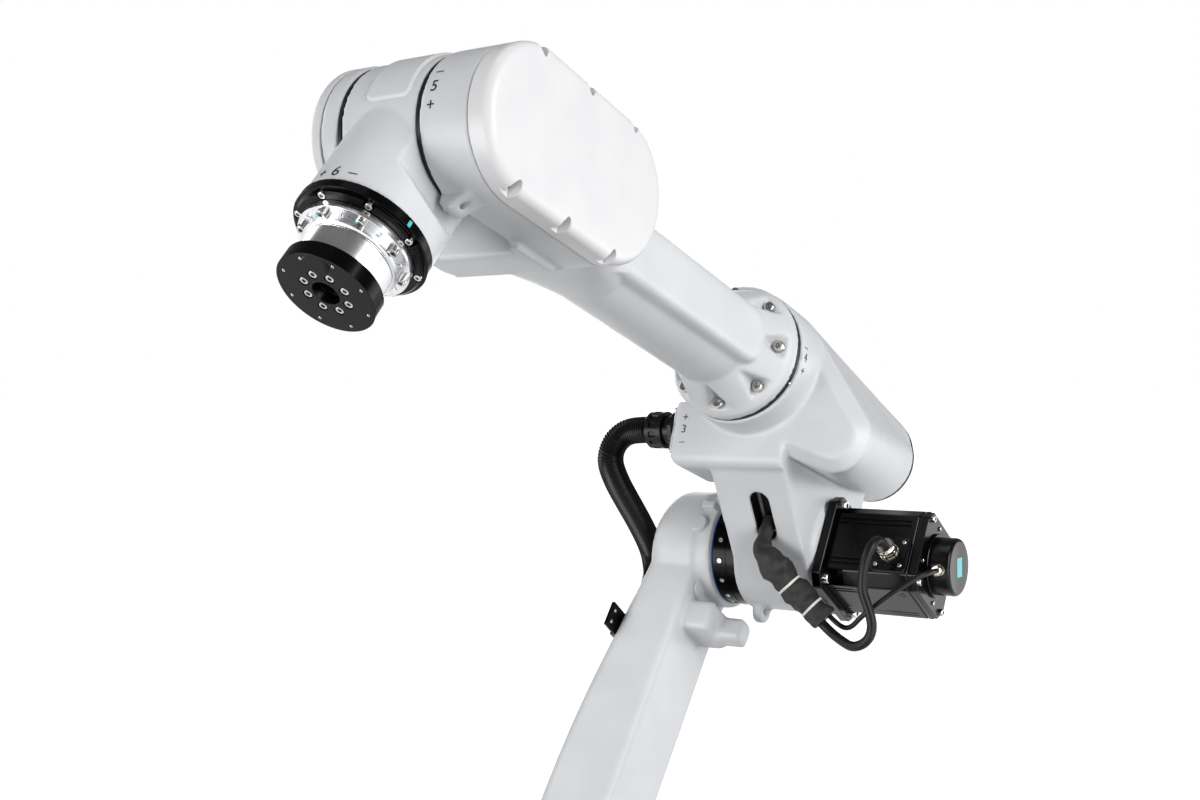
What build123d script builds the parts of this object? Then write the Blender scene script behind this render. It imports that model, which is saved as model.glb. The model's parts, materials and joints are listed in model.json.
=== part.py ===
from build123d import *

import os
from math import acos, atan2, cos, pi, radians, sin, tan

# A six-axis jointed-arm robot with a bare tool flange, in millimetres.
# X points forward, Y to the robot's left and Z up, with the origin on the turning axis at the floor.
# Each link is drawn about its own joint and is then moved to the rest pose.
os.makedirs("parts", exist_ok=True)

# Joint layout
shoulder_height = 500.0
shoulder_offset = 160.0
arm_length = 790.0
elbow_reach = 260.0
elbow_rise = 200.0
forearm_length = 573.0

# Rest pose, in degrees
arm_lean = 38.0
forearm_rise = 17.41
tool_dip = 48.21
wrist_swing = 105.0

# Shared clearances and fasteners
cut_overrun = 5.0
running_gap = 0.3
side_clearance = 5.0
bevel_angle = 45.0
screw_head_radius = 6.5
screw_head_height = 8.0
screw_socket_radius = 3.4
screw_socket_depth = 4.0

# Base and turntable
foot_side = 440.0
foot_thickness = 26.0
foot_corner_radius = 45.0
foot_bolt_spacing = 360.0
foot_bolt_hole_radius = 9.0
drum_foot_radius = 192.0
drum_top_radius = 160.0
drum_height = 200.0
drum_waist_radius = 164.0
rear_box_reach = 290.0
rear_box_width = 230.0
rear_box_height = 150.0
rear_box_radius = 18.0
rear_panel_width = 190.0
rear_panel_height = 100.0
rear_panel_thickness = 6.0
rear_panel_radius = 8.0
plug_radius = 24.0
plug_length = 30.0
plug_spacing = 80.0
turntable_ring_radius = 152.0
turntable_ring_bore = 110.0
turntable_ring_height = 14.0
deck_radius = 172.0
deck_height = 48.0
deck_fillet = 12.0

# Shoulder
shoulder_half_width = 58.0
shoulder_radius = 112.0
pedestal_front = 150.0
pedestal_rear = 38.0
pedestal_wing_half_width = 98.0
pedestal_wing_rise = 80.0
pedestal_wing_taper = 14.0
axis1_motor_setback = 105.0
axis2_ring_radius = 98.0

# Lower arm
arm_outer_face = 215.0
arm_head_face = 172.0
arm_taper_start = 500.0
arm_taper_radius = 1500.0
arm_inner_face = 112.0
arm_half_depth = 55.0
arm_foot_radius = 112.0
arm_head_radius = 80.0
arm_blend_radius = 160.0
arm_outer_fillet = 20.0
arm_inner_fillet = 9.0
joint_ring_face = 92.0
arm_foot_boss_radius = 106.0
arm_head_boss_radius = 76.0
axis3_ring_radius = 69.0
stop_block_drop = 118.0
stop_block_length = 62.0
stop_block_height = 42.0
stop_block_reach = 38.0
stop_block_shift = 8.0
stop_block_radius = 8.0
stop_bumper_length = 32.0
stop_bumper_height = 32.0
stop_bumper_reach = 32.0
stop_bumper_setback = 14.0

# Hose bracket on the outer face of the lower arm
bracket_face = 195.0
bracket_drop = 150.0
bracket_height = 34.0
bracket_overhang = 20.0
bracket_rear_reach = 66.0
bracket_thickness = 5.0
shelf_reach = 52.0
shelf_width = 56.0
hose_stand_off = 29.0
hose_setback = 38.0

# Elbow
hub_half_width = 58.0
leg_half_width = 52.0
leg_radius = 72.0
leg_rear_reach = 70.0
block_low = 72.0
block_front = 187.0
block_left = 105.0
block_box_depth = 92.0
block_box_height = 84.0
block_bevel = 15.0
block_corner_across = 116.0
block_corner_up = 115.0
block_corner_radius = 43.0
barrel_radius = 86.0
barrel_front = 233.0
tail_end_radius = 66.0
tail_end_reach = 186.0
tail_end_drop = 12.0
tail_end_lobe_radius = 62.0
tail_end_lobe_shift = 6.0
rear_cover_thickness = 8.0
rear_cover_inset = 1.0
slot_length = 70.0
slot_width = 26.0
slot_depth = 26.0
slot_rise_share = 0.54
slot_shift = 6.0
axis4_seal_radius = 83.0
gland_plate_thickness = 4.0
gland_plate_inset = 3.0
gland_plate_radius = 10.0
gland_radius = 24.0
gland_nut_length = 24.0
gland_neck_radius = 20.0
gland_neck_length = 16.0
gland_across = 166.0
gland_up = 123.0
lug_radius = 16.0
lug_hole_radius = 5.0
lug_thickness = 14.0
lug_drop = 76.0
lug_inset = 34.0

# Servo motors
motor_side = 110.0
motor_corner_cut = 15.0
motor_flange_side = 130.0
motor_flange_thickness = 12.0
motor_body_length = 108.0
motor_end_plate_thickness = 12.0
encoder_collar_radius = 40.0
encoder_collar_length = 4.0
encoder_cover_radius = 36.0
encoder_cover_length = 26.0
encoder_cover_fillet = 5.0
axis3_motor_roll = 15.0
connector_plate_side = 46.0
connector_plate_thickness = 8.0
connector_plate_radius = 6.0
connector_back_share = 0.215
connector_shift = 17.0
power_plug_radius = 12.0
power_plug_length = 22.0
encoder_plug_radius = 7.0
encoder_plug_length = 15.0
encoder_plug_turn = -32.0
encoder_plug_share = 0.55

# Cables, sleeve and hose
cord_arc_share = 0.45
power_cable_radius = 6.0
encoder_cable_radius = 3.2
sleeve_radius = 18.0
sleeve_neck_radius = 11.0
sleeve_neck_length = 24.0
sleeve_entry_rise = 82.0
sleeve_dip = (0.3, 0, -0.954)
hose_radius = 17.5
power_plug_run = 8.0
power_exit_run = 15.0
encoder_exit_run = 14.0
encoder_mouth_run = 18.0
hose_gland_run = 20.0
hose_exit_run = 26.0
power_mouth_shift = 5.0
encoder_mouth_shift = 8.0

# Forearm
forearm_flange_radius = 84.0
forearm_flange_thickness = 20.0
forearm_rim_slope = 9.0
forearm_rim_radius = 78.0
forearm_bolt_circle_radius = 70.0
forearm_bolt_count = 8
forearm_pocket_apex = 57.0
forearm_pocket_half_angle = 42.0
forearm_neck_length = 46.0
tube_root_radius = 57.0
tube_end_radius = 54.0
tube_length = 420.0
fork_radius = 70.0
fork_root = 444.0
fork_inner_face = 47.0
fork_outer_face = 99.0
fork_far_face = 67.0
fork_lug_angle = -80.0
fork_lug_width = 22.0
fork_lug_reach = 34.0
fork_lug_low_rise = 8.0
fork_lug_high_rise = 14.0
fork_lug_slope = 7.0
fork_lug_flat = 6.0
fork_lug_root = 12.0
fork_lug_hole_radius = 3.5
fork_lug_hole_rise = 6.5
cheek_start = 300.0
cheek_half_height = 62.0
cheek_radius = 34.0
side_pad_start = 18.0
side_pad_half_height = 34.0
side_pad_face = 61.0
side_pad_fillet = 10.0
chin_start = 290.0
chin_depth = 77.0
chin_flat_length = 56.0
chin_sag_share = 0.58
chin_half_width = 58.0
palm_gap_radius = 77.0
wrist_cover_thickness = 24.0
wrist_cover_fillet = 9.0
side_cap_thickness = 14.0
side_cap_fillet = 8.0
axis5_seal_radius = 68.0

# Wrist and tool flange
cross_tube_radius = 69.0
stem_radius = 61.0
stem_length = 125.0
stem_shoulder = 84.0
access_panel_rise = 2.5
access_panel_half_width = 25.0
access_panel_shift = 8.0
access_panel_start = 68.0
access_panel_sweep = 90.0
axis6_ring_radius = 62.5
axis6_ring_length = 14.0
axis6_ring_chamfer = 4.5
adapter_flange_radius = 52.0
adapter_flange_thickness = 7.0
adapter_body_radius = 40.0
adapter_length = 40.0
adapter_bolt_circle_radius = 46.5
adapter_bolt_count = 8
adapter_screw_radius = 4.25
adapter_screw_height = 5.0
adapter_jack_hole_radius = 2.1
adapter_jack_hole_depth = 5.0
tool_plate_radius = 45.0
tool_plate_thickness = 15.0
tool_bore_radius = 12.5
tool_bore_depth = 10.0
tool_bolt_circle_radius = 20.5
tool_bolt_count = 8
tool_counterbore_radius = 4.5
tool_counterbore_depth = 7.0
tool_screw_radius = 4.2
tool_screw_height = 5.0
tool_rim_circle_radius = 38.8
tool_rim_hole_radius = 1.7
tool_rim_hole_depth = 8.0

# Directions for round pieces whose length runs along an axis
to_left = (-90, 0, 0)
to_right = (90, 0, 0)
to_front = (0, 90, 0)
to_rear = (0, -90, 0)
from_base = (Align.CENTER, Align.CENTER, Align.MIN)

# Frames of the links at rest
floor_frame = Location()
shoulder_frame = Location((shoulder_offset, 0, shoulder_height), (0, -arm_lean, 0))
elbow_turn = arm_lean - forearm_rise
elbow_frame = shoulder_frame * Location((0, 0, arm_length), (0, elbow_turn, 0))
forearm_frame = elbow_frame * Location((elbow_reach, 0, elbow_rise))
wrist_frame = forearm_frame * Location((forearm_length, 0, 0), (0, forearm_rise + tool_dip, 0))


def save(builder, label, frame):
    """Moves a piece from its link's frame to the rest pose, names it and writes its STEP file."""
    piece = builder.part.moved(frame)
    piece.label = label
    export_step(piece, f"parts/{label}.step")


def cap_screws(circle_radius, count, start_angle, head_radius, head_height, socket_radius, socket_depth):
    """A ring of socket-head screws about X, with their heads standing on the plane X = 0."""
    with BuildPart() as screws:
        with BuildSketch(Plane.YZ):
            with PolarLocations(circle_radius, count, start_angle):
                Circle(head_radius)
        extrude(amount=head_height)
        with BuildSketch(Plane.YZ.offset(head_height)):
            with PolarLocations(circle_radius, count, start_angle):
                RegularPolygon(socket_radius, 6)
        extrude(amount=-socket_depth, mode=Mode.SUBTRACT)
    return screws


def cut_square(side, corner_cut):
    """A square outline with its four corners cut off, as on a servo motor's housing."""
    with BuildSketch() as outline:
        Rectangle(side, side)
        chamfer(outline.vertices(), length=corner_cut)
    return outline.sketch


def motor_pieces():
    """The flange, body, end plate and encoder cover of one servo motor, standing along Z on its seat."""
    body_low = motor_flange_thickness
    body_high = body_low + motor_body_length
    plate_high = body_high + motor_end_plate_thickness
    with BuildPart() as flange:
        with BuildSketch():
            add(cut_square(motor_flange_side, motor_corner_cut))
        extrude(amount=motor_flange_thickness)
    with BuildPart() as body:
        with BuildSketch(Plane.XY.offset(body_low)):
            add(cut_square(motor_side, motor_corner_cut))
        extrude(amount=motor_body_length)
    with BuildPart() as end_plate:
        with BuildSketch(Plane.XY.offset(body_high)):
            add(cut_square(motor_side, motor_corner_cut))
        extrude(amount=motor_end_plate_thickness)
        with BuildSketch(Plane.XY.offset(plate_high)):
            Circle(encoder_collar_radius)
        extrude(amount=encoder_collar_length)
    with BuildPart() as cover:
        with BuildSketch(Plane.XY.offset(plate_high + encoder_collar_length)):
            Circle(encoder_cover_radius)
        extrude(amount=encoder_cover_length)
        fillet(cover.edges().group_by(Axis.Z)[-1], radius=encoder_cover_fillet)
    return {"flange": flange, "body": body, "end_plate": end_plate, "encoder_cover": cover}


def cord_radii(points):
    """The largest arc that each corner of a cord's route has room for."""
    radii = []
    for before, corner, after in zip(points, points[1:], points[2:]):
        run_in = Vector(*corner) - Vector(*before)
        run_out = Vector(*after) - Vector(*corner)
        shorter = min(run_in.length, run_out.length)
        radii.append(cord_arc_share * shorter / tan(radians(run_in.get_angle(run_out)) / 2))
    return radii


def cord_tube(name, points, radius):
    """A round tube of straight runs and tangent arcs along a cord's route."""
    radii = cord_radii(points)
    with BuildPart() as tube:
        with BuildLine() as route:
            FilletPolyline(*points, radius=radii)
        with BuildSketch(Plane(origin=route.line @ 0, z_dir=route.line % 0)):
            Circle(radius)
        sweep()
    length = sum(edge.length for edge in route.edges())
    expected = pi * radius**2 * length
    print(name, "radii", [round(r, 1) for r in radii], "length", round(length, 1))
    print(name, "volume share", round(tube.part.volume / expected, 4))
    return tube


# Base
with BuildPart() as base_casting:
    with BuildSketch():
        RectangleRounded(foot_side, foot_side, foot_corner_radius)
    extrude(amount=foot_thickness)
    with BuildSketch(Plane.XZ):
        with BuildLine():
            drum_mid_height = (foot_thickness + drum_height) / 2
            Polyline((drum_foot_radius, foot_thickness), (drum_foot_radius, 0), (0, 0), (0, drum_height),
                     (drum_top_radius, drum_height))
            ThreePointArc((drum_top_radius, drum_height), (drum_waist_radius, drum_mid_height),
                          (drum_foot_radius, foot_thickness))
        make_face()
    revolve(axis=Axis.Z)
    with BuildSketch(Plane.YZ.offset(-rear_box_reach)):
        with Locations((0, (foot_thickness + rear_box_height) / 2)):
            RectangleRounded(rear_box_width, rear_box_height - foot_thickness, rear_box_radius)
    extrude(amount=rear_box_reach - drum_waist_radius / 2)
    with GridLocations(foot_bolt_spacing, foot_bolt_spacing, 2, 2):
        with Locations((0, 0, foot_thickness)):
            Hole(foot_bolt_hole_radius, depth=foot_thickness)
save(base_casting, "base_casting", floor_frame)

panel_mid = (foot_thickness + rear_box_height) / 2
with BuildPart() as base_connector_panel:
    with BuildSketch(Plane.YZ.offset(-rear_box_reach)):
        with Locations((0, panel_mid)):
            RectangleRounded(rear_panel_width, rear_panel_height, rear_panel_radius)
    extrude(amount=-rear_panel_thickness)
save(base_connector_panel, "base_connector_panel", floor_frame)

with BuildPart() as base_connectors:
    with BuildSketch(Plane.YZ.offset(-rear_box_reach - rear_panel_thickness)):
        with Locations((0, panel_mid)):
            with GridLocations(plug_spacing, 0, 2, 1):
                Circle(plug_radius)
    extrude(amount=-plug_length)
save(base_connectors, "base_connectors", floor_frame)

with BuildPart() as turntable_ring:
    with BuildSketch(Plane.XY.offset(drum_height)):
        Circle(turntable_ring_radius)
        Circle(turntable_ring_bore, mode=Mode.SUBTRACT)
    extrude(amount=turntable_ring_height)
save(turntable_ring, "turntable_ring", floor_frame)

# Carousel with the shoulder bearing
deck_low = drum_height + turntable_ring_height + running_gap
deck_high = deck_low + deck_height
with BuildPart() as carousel_casting:
    with BuildSketch(Plane.XY.offset(deck_low)):
        Circle(deck_radius)
    extrude(amount=deck_height)
    fillet(carousel_casting.edges().group_by(Axis.Z)[-1], radius=deck_fillet)
    with BuildSketch(Plane.XZ):
        with Locations((shoulder_offset, shoulder_height)):
            Circle(shoulder_radius)
        with Locations(((pedestal_front - pedestal_rear) / 2, deck_high - deck_height / 2)):
            Rectangle(pedestal_front + pedestal_rear, deck_height)
        make_hull()
    extrude(amount=shoulder_half_width, both=True)
    with BuildSketch(Plane.XY.offset(deck_high - deck_height / 2)):
        with Locations(((pedestal_front - pedestal_rear) / 2, 0)):
            Rectangle(pedestal_front + pedestal_rear, 2 * pedestal_wing_half_width)
    extrude(amount=deck_height / 2 + pedestal_wing_rise, taper=pedestal_wing_taper)
save(carousel_casting, "carousel_casting", floor_frame)

with BuildPart() as axis2_ring:
    with Locations((shoulder_offset, -shoulder_half_width, shoulder_height)):
        Cylinder(axis2_ring_radius, joint_ring_face - shoulder_half_width, rotation=to_right, align=from_base)
save(axis2_ring, "axis2_ring", floor_frame)

axis1_motor_frame = Location((-axis1_motor_setback, 0, deck_high))
axis2_motor_frame = Location((shoulder_offset, shoulder_half_width, shoulder_height), to_left)
axis3_motor_roll_turn = Location((0, 0, 0), (0, 0, -axis3_motor_roll))
axis3_motor_frame = elbow_frame * Location((0, hub_half_width, 0), to_left) * axis3_motor_roll_turn
motor_frames = {"axis1": axis1_motor_frame, "axis2": axis2_motor_frame, "axis3": axis3_motor_frame}
for axis_name, motor_frame in motor_frames.items():
    for piece_name, piece_builder in motor_pieces().items():
        save(piece_builder, f"{axis_name}_motor_{piece_name}", motor_frame)

# Lower arm
arm_width = arm_outer_face - arm_inner_face
foot_boss_length = arm_inner_face - joint_ring_face - running_gap
head_boss_length = arm_inner_face - joint_ring_face
bracket_top = arm_length - bracket_drop + bracket_height / 2
bracket_length = bracket_rear_reach + arm_half_depth + bracket_overhang
taper_far = arm_outer_face + cut_overrun
taper_rise = arm_length + arm_head_radius - arm_taper_start
taper_angle = atan2(arm_outer_face - arm_head_face, taper_rise)
taper_run = arm_taper_radius * tan(taper_angle / 2)
taper_kink = Vector(-arm_outer_face, arm_taper_start)
taper_slope = Vector(sin(taper_angle), cos(taper_angle))
taper_low = taper_kink - Vector(0, taper_run)
taper_high = taper_kink + taper_slope * taper_run
head_end = taper_kink + taper_slope * (taper_rise + arm_head_radius)
with BuildPart() as lower_arm:
    with BuildSketch(Plane.XZ.offset(arm_inner_face)) as arm_outline:
        Circle(arm_foot_radius)
        with Locations((0, arm_length)):
            Circle(arm_head_radius)
        with Locations((0, arm_length / 2)):
            Rectangle(2 * arm_half_depth, arm_length)
        inner_corners = arm_outline.vertices().filter_by_position(
            Axis.Z, arm_foot_radius / 2, arm_length - arm_half_depth / 2
        )
        fillet(inner_corners, radius=arm_blend_radius)
    extrude(amount=arm_width)
    with BuildSketch(Plane.YZ):
        with BuildLine():
            TangentArc(taper_low, taper_high, tangent=(0, 1))
            Polyline(taper_high, head_end, (-taper_far, head_end.Y), (-taper_far, taper_low.Y), taper_low)
        make_face()
    extrude(amount=arm_foot_radius, both=True, mode=Mode.SUBTRACT)
    outer_edges = lower_arm.edges().filter_by(Axis.X, reverse=True).filter_by(Axis.Y, reverse=True)
    fillet(
        outer_edges.filter_by_position(Axis.Y, -taper_far, -arm_inner_face - arm_inner_fillet),
        radius=arm_outer_fillet,
    )
    fillet(lower_arm.faces().sort_by(Axis.Y)[-1].edges(), radius=arm_inner_fillet)
    with Locations((0, -arm_inner_face, 0)):
        Cylinder(arm_foot_boss_radius, foot_boss_length, rotation=to_left, align=from_base)
    with Locations((0, -arm_inner_face, arm_length)):
        Cylinder(arm_head_boss_radius, head_boss_length, rotation=to_left, align=from_base)
    with BuildSketch(Plane.XZ.offset(arm_inner_face)):
        with Locations((stop_block_shift, arm_length - stop_block_drop)):
            RectangleRounded(stop_block_length, stop_block_height, stop_block_radius)
    extrude(amount=-stop_block_reach)
    with BuildSketch(Plane.XZ.offset(arm_inner_face - stop_block_reach)):
        with Locations((stop_block_shift - stop_bumper_setback, arm_length - stop_block_drop)):
            RectangleRounded(stop_bumper_length, stop_bumper_height, stop_block_radius)
    extrude(amount=-stop_bumper_reach)
    with Locations((0, -bracket_face - arm_outer_face / 2, bracket_top - bracket_height / 2)):
        Box(2 * arm_foot_radius, arm_outer_face, bracket_height + 2 * running_gap, mode=Mode.SUBTRACT)
save(lower_arm, "lower_arm", shoulder_frame)

axis3_ring_length = joint_ring_face - hub_half_width - running_gap
with BuildPart() as axis3_ring:
    with Locations((0, -joint_ring_face, arm_length)):
        Cylinder(axis3_ring_radius, axis3_ring_length, rotation=to_left, align=from_base)
save(axis3_ring, "axis3_ring", shoulder_frame)

with BuildPart() as hose_bracket:
    with BuildSketch(Plane.XZ.offset(bracket_face)):
        bracket_middle = arm_half_depth + bracket_overhang - bracket_length / 2
        with Locations((bracket_middle, bracket_top - bracket_height / 2)):
            Rectangle(bracket_length, bracket_height)
    extrude(amount=bracket_thickness)
    with Locations((-hose_setback, -bracket_face - shelf_reach / 2, bracket_top - bracket_thickness / 2)):
        Box(shelf_width, shelf_reach, bracket_thickness)
save(hose_bracket, "hose_bracket", shoulder_frame)

with BuildPart() as lower_hose_gland:
    with Locations((-hose_setback, -bracket_face - hose_stand_off, bracket_top)):
        Cylinder(gland_neck_radius, gland_neck_length, align=from_base)
    with Locations((-hose_setback, -bracket_face - hose_stand_off, bracket_top + gland_neck_length)):
        Cylinder(gland_radius, gland_nut_length, align=from_base)
save(lower_hose_gland, "lower_hose_gland", shoulder_frame)

# Elbow
slope_top = block_low + block_bevel
corner_distance = (block_front**2 + slope_top**2) ** 0.5
front_angle = atan2(slope_top, block_front) - acos(leg_radius / corner_distance)
front_normal = Vector(cos(front_angle), 0, sin(front_angle))
front_up = Vector(-sin(front_angle), 0, cos(front_angle))
front_low = front_normal * leg_radius
front_high = Vector(block_front, 0, slope_top)
slot_middle = front_low + (front_high - front_low) * slot_rise_share + Vector(0, slot_shift, 0)
bevel_foot = block_front - block_bevel
with BuildPart() as gland_box:
    box_across = block_front - block_box_depth / 2
    with Locations((box_across, (leg_half_width - block_left) / 2, block_low + block_box_height / 2)):
        Box(block_box_depth, block_left + leg_half_width, block_box_height)
    low_front = gland_box.edges().filter_by(Axis.Y).group_by(Axis.Z)[0].sort_by(Axis.X)[-1]
    low_left = gland_box.edges().filter_by(Axis.X).group_by(Axis.Z)[0].sort_by(Axis.Y)[0]
    fillet([low_front, low_left], radius=block_bevel)

with BuildPart() as elbow_casting:
    with Locations((0, -hub_half_width, 0)):
        Cylinder(leg_radius, 2 * hub_half_width, rotation=to_left, align=from_base)
    with BuildSketch(Plane.XZ):
        Circle(leg_radius)
        with Locations(((block_front - leg_rear_reach) / 2, (slope_top + elbow_rise) / 2)):
            Rectangle(block_front + leg_rear_reach, elbow_rise - slope_top)
        make_hull()
    extrude(amount=leg_half_width, both=True)
    with BuildSketch(Plane.YZ.offset(bevel_foot)):
        with Locations((0, elbow_rise)):
            Circle(barrel_radius)
        with Locations((block_corner_across, block_corner_up)):
            Circle(block_corner_radius)
        make_hull()
    extrude(amount=block_bevel, taper=bevel_angle)
    with BuildSketch(Plane.YZ.offset(bevel_foot)):
        with Locations((0, elbow_rise)):
            Circle(barrel_radius)
        with Locations((block_corner_across, block_corner_up)):
            Circle(block_corner_radius)
        make_hull()
    with BuildSketch(Plane.YZ.offset(-tail_end_reach)):
        with Locations((0, elbow_rise - tail_end_drop)):
            Circle(tail_end_radius)
        with Locations((tail_end_lobe_shift, elbow_rise - tail_end_drop - tail_end_lobe_shift)):
            Circle(tail_end_lobe_radius)
        make_hull()
    loft()
    add(gland_box.part)
    with Locations((barrel_front, 0, elbow_rise)):
        Cylinder(barrel_radius, barrel_front - bevel_foot, rotation=to_rear, align=from_base)
    with BuildSketch(Plane(origin=slot_middle, x_dir=(0, 1, 0), z_dir=front_normal)):
        SlotOverall(slot_length, slot_width, rotation=90)
    extrude(amount=-slot_depth, mode=Mode.SUBTRACT)
    with BuildSketch(Plane.XZ.offset(lug_inset)):
        with Locations((0, -lug_drop)):
            Circle(lug_radius)
            Circle(lug_hole_radius, mode=Mode.SUBTRACT)
    extrude(amount=lug_thickness)
save(elbow_casting, "elbow_casting", elbow_frame)

with BuildPart() as rear_cover:
    with BuildSketch(Plane.YZ.offset(-tail_end_reach)):
        with Locations((0, elbow_rise - tail_end_drop)):
            Circle(tail_end_radius - rear_cover_inset)
        with Locations((tail_end_lobe_shift, elbow_rise - tail_end_drop - tail_end_lobe_shift)):
            Circle(tail_end_lobe_radius - rear_cover_inset)
        make_hull()
    extrude(amount=-rear_cover_thickness)
save(rear_cover, "rear_cover", elbow_frame)

with BuildPart() as axis4_seal:
    with Locations((barrel_front, 0, elbow_rise)):
        Cylinder(
            axis4_seal_radius,
            elbow_reach - forearm_flange_thickness - barrel_front - running_gap,
            rotation=to_front,
            align=from_base,
        )
save(axis4_seal, "axis4_seal", elbow_frame)

plate_low = block_low + block_bevel
plate_height = block_low + block_box_height - gland_plate_inset - plate_low
plate_width = block_box_depth - 2 * gland_plate_inset
with BuildPart() as gland_plate:
    with BuildSketch(Plane.XZ.offset(block_left)):
        with Locations((box_across, plate_low + plate_height / 2)):
            RectangleRounded(plate_width, plate_height, gland_plate_radius)
    extrude(amount=gland_plate_thickness)
save(gland_plate, "gland_plate", elbow_frame)

gland_face = block_left + gland_plate_thickness
with BuildPart() as hose_gland:
    with Locations((gland_across, -gland_face, gland_up)):
        Cylinder(gland_neck_radius, gland_neck_length, rotation=to_right, align=from_base)
    with Locations((gland_across, -gland_face - gland_neck_length, gland_up)):
        Cylinder(gland_radius, gland_nut_length, rotation=to_right, align=from_base)
save(hose_gland, "hose_gland", elbow_frame)

# Plugs on the elbow motor
connector_z = motor_flange_thickness + motor_body_length * (1 - connector_back_share)
connector_seat = (motor_side / 2, connector_shift, connector_z)
connector_plane = Plane(origin=connector_seat, x_dir=(0, 1, 0), z_dir=(1, 0, 0))
with BuildPart() as power_connector:
    with BuildSketch(connector_plane):
        RectangleRounded(connector_plate_side, connector_plate_side, connector_plate_radius)
    extrude(amount=connector_plate_thickness)
    with BuildSketch(connector_plane.offset(connector_plate_thickness)):
        Circle(power_plug_radius)
    extrude(amount=power_plug_length)
save(power_connector, "power_connector", axis3_motor_frame)

encoder_collar_low = motor_flange_thickness + motor_body_length + motor_end_plate_thickness
encoder_z = encoder_collar_low + encoder_collar_length + encoder_cover_length * encoder_plug_share
encoder_plug_tip = encoder_cover_radius + encoder_plug_length
with BuildPart() as encoder_connector:
    with Locations((0, 0, encoder_z)):
        Cylinder(encoder_plug_radius, encoder_plug_tip, rotation=to_front, align=from_base)
        Cylinder(encoder_cover_radius + running_gap, 4 * encoder_plug_radius, mode=Mode.SUBTRACT)
encoder_frame = axis3_motor_frame * Location((0, 0, 0), (0, 0, -encoder_plug_turn))
save(encoder_connector, "encoder_connector", encoder_frame)

# Cables, sleeve and hose, with routes in the elbow's frame
elbow_view = elbow_frame.inverse()


def seen_from_elbow(frame, point, direction):
    """A point and a direction of another frame, as the elbow's frame sees them."""
    tip = (elbow_view * frame * Location(point)).position
    ahead = (elbow_view * frame * Location(Vector(*point) + Vector(*direction))).position
    return tip, ahead - tip


sleeve_entry = front_normal * leg_radius + front_up * sleeve_entry_rise + Vector(0, slot_shift, 0)
sleeve_path = [
    sleeve_entry + Vector(*sleeve_dip) * sleeve_neck_length,
    (112, 17, -26),
    (103, 32, -43),
    (93, 48, -59),
    (82, 66, -74),
    (74, 84, -90),
]
mouth = Vector(*sleeve_path[-1])
mouth_out = (mouth - Vector(*sleeve_path[-2])).normalized()
mouth_side = mouth_out.cross(Vector(0, 0, 1)).normalized()
mouth_down = mouth_out.cross(mouth_side).normalized()
cable_sleeve = cord_tube("cable_sleeve", sleeve_path, sleeve_radius)
neck_low = sleeve_entry - Vector(*sleeve_dip) * sleeve_neck_length
with BuildPart() as sleeve_neck:
    with BuildSketch(Plane(origin=neck_low, z_dir=sleeve_dip)):
        Circle(sleeve_neck_radius)
    extrude(amount=2 * sleeve_neck_length)
with BuildPart() as whole_sleeve:
    add(cable_sleeve.part)
    add(sleeve_neck.part)
save(whole_sleeve, "cable_sleeve", elbow_frame)

power_tip = (motor_side / 2 + connector_plate_thickness + power_plug_length, connector_shift, connector_z)
power_start, power_out = seen_from_elbow(axis3_motor_frame, power_tip, (1, 0, 0))
power_end = mouth + mouth_down * power_mouth_shift
power_path = [
    power_start,
    power_start + power_out * power_plug_run,
    (108, 153.5, 7),
    (117, 150.5, -5),
    (116, 145, -26),
    (107, 142, -55),
    (101, 151, -75),
    (97, 157, -93),
    (94, 155, -107),
    (90, 145, -117),
    (84, 129, -121),
    (78, 112, -114),
    power_end + mouth_out * power_exit_run,
    power_end,
]
save(cord_tube("power_cable", power_path, power_cable_radius), "power_cable", elbow_frame)

encoder_tip = (encoder_plug_tip, 0, encoder_z)
encoder_start, encoder_out = seen_from_elbow(encoder_frame, encoder_tip, (1, 0, 0))
encoder_end = mouth - mouth_down * encoder_mouth_shift
encoder_path = [
    encoder_start,
    encoder_start + encoder_out * encoder_exit_run,
    (76, 202, -26),
    (84, 186, -40),
    (87, 168, -56),
    (87, 151, -71),
    (84, 136, -83),
    (76, 120, -98),
    encoder_end + mouth_out * encoder_mouth_run,
    encoder_end,
]
save(cord_tube("encoder_cable", encoder_path, encoder_cable_radius), "encoder_cable", elbow_frame)

hose_start = Vector(gland_across, -gland_face - gland_neck_length - gland_nut_length, gland_up)
lower_gland_high = bracket_top + gland_neck_length + gland_nut_length
lower_gland_top = (-hose_setback, -bracket_face - hose_stand_off, lower_gland_high)
hose_end, hose_up = seen_from_elbow(shoulder_frame, lower_gland_top, (0, 0, 1))
hose_path = [
    hose_start,
    hose_start + Vector(0, -1, 0) * hose_gland_run,
    (166, -190, 119.5),
    (164, -207, 106),
    (155, -217, 84),
    (127, -220, 64),
    (93, -221, 46),
    (55, -221, 26),
    (18, -222, 5),
    (-6, -223, -14),
    (-18, -224, -40),
    hose_end + hose_up * hose_exit_run,
    hose_end,
]
save(cord_tube("dress_hose", hose_path, hose_radius), "dress_hose", elbow_frame)

# Forearm
with BuildPart() as side_pad:
    with BuildSketch(Plane.XZ):
        pad_length = fork_root - side_pad_start
        with Locations((side_pad_start + pad_length / 2, 0)):
            SlotOverall(pad_length, 2 * side_pad_half_height)
    extrude(amount=-side_pad_face)
    fillet(side_pad.edges().group_by(Axis.Y)[-1], radius=side_pad_fillet)

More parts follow.
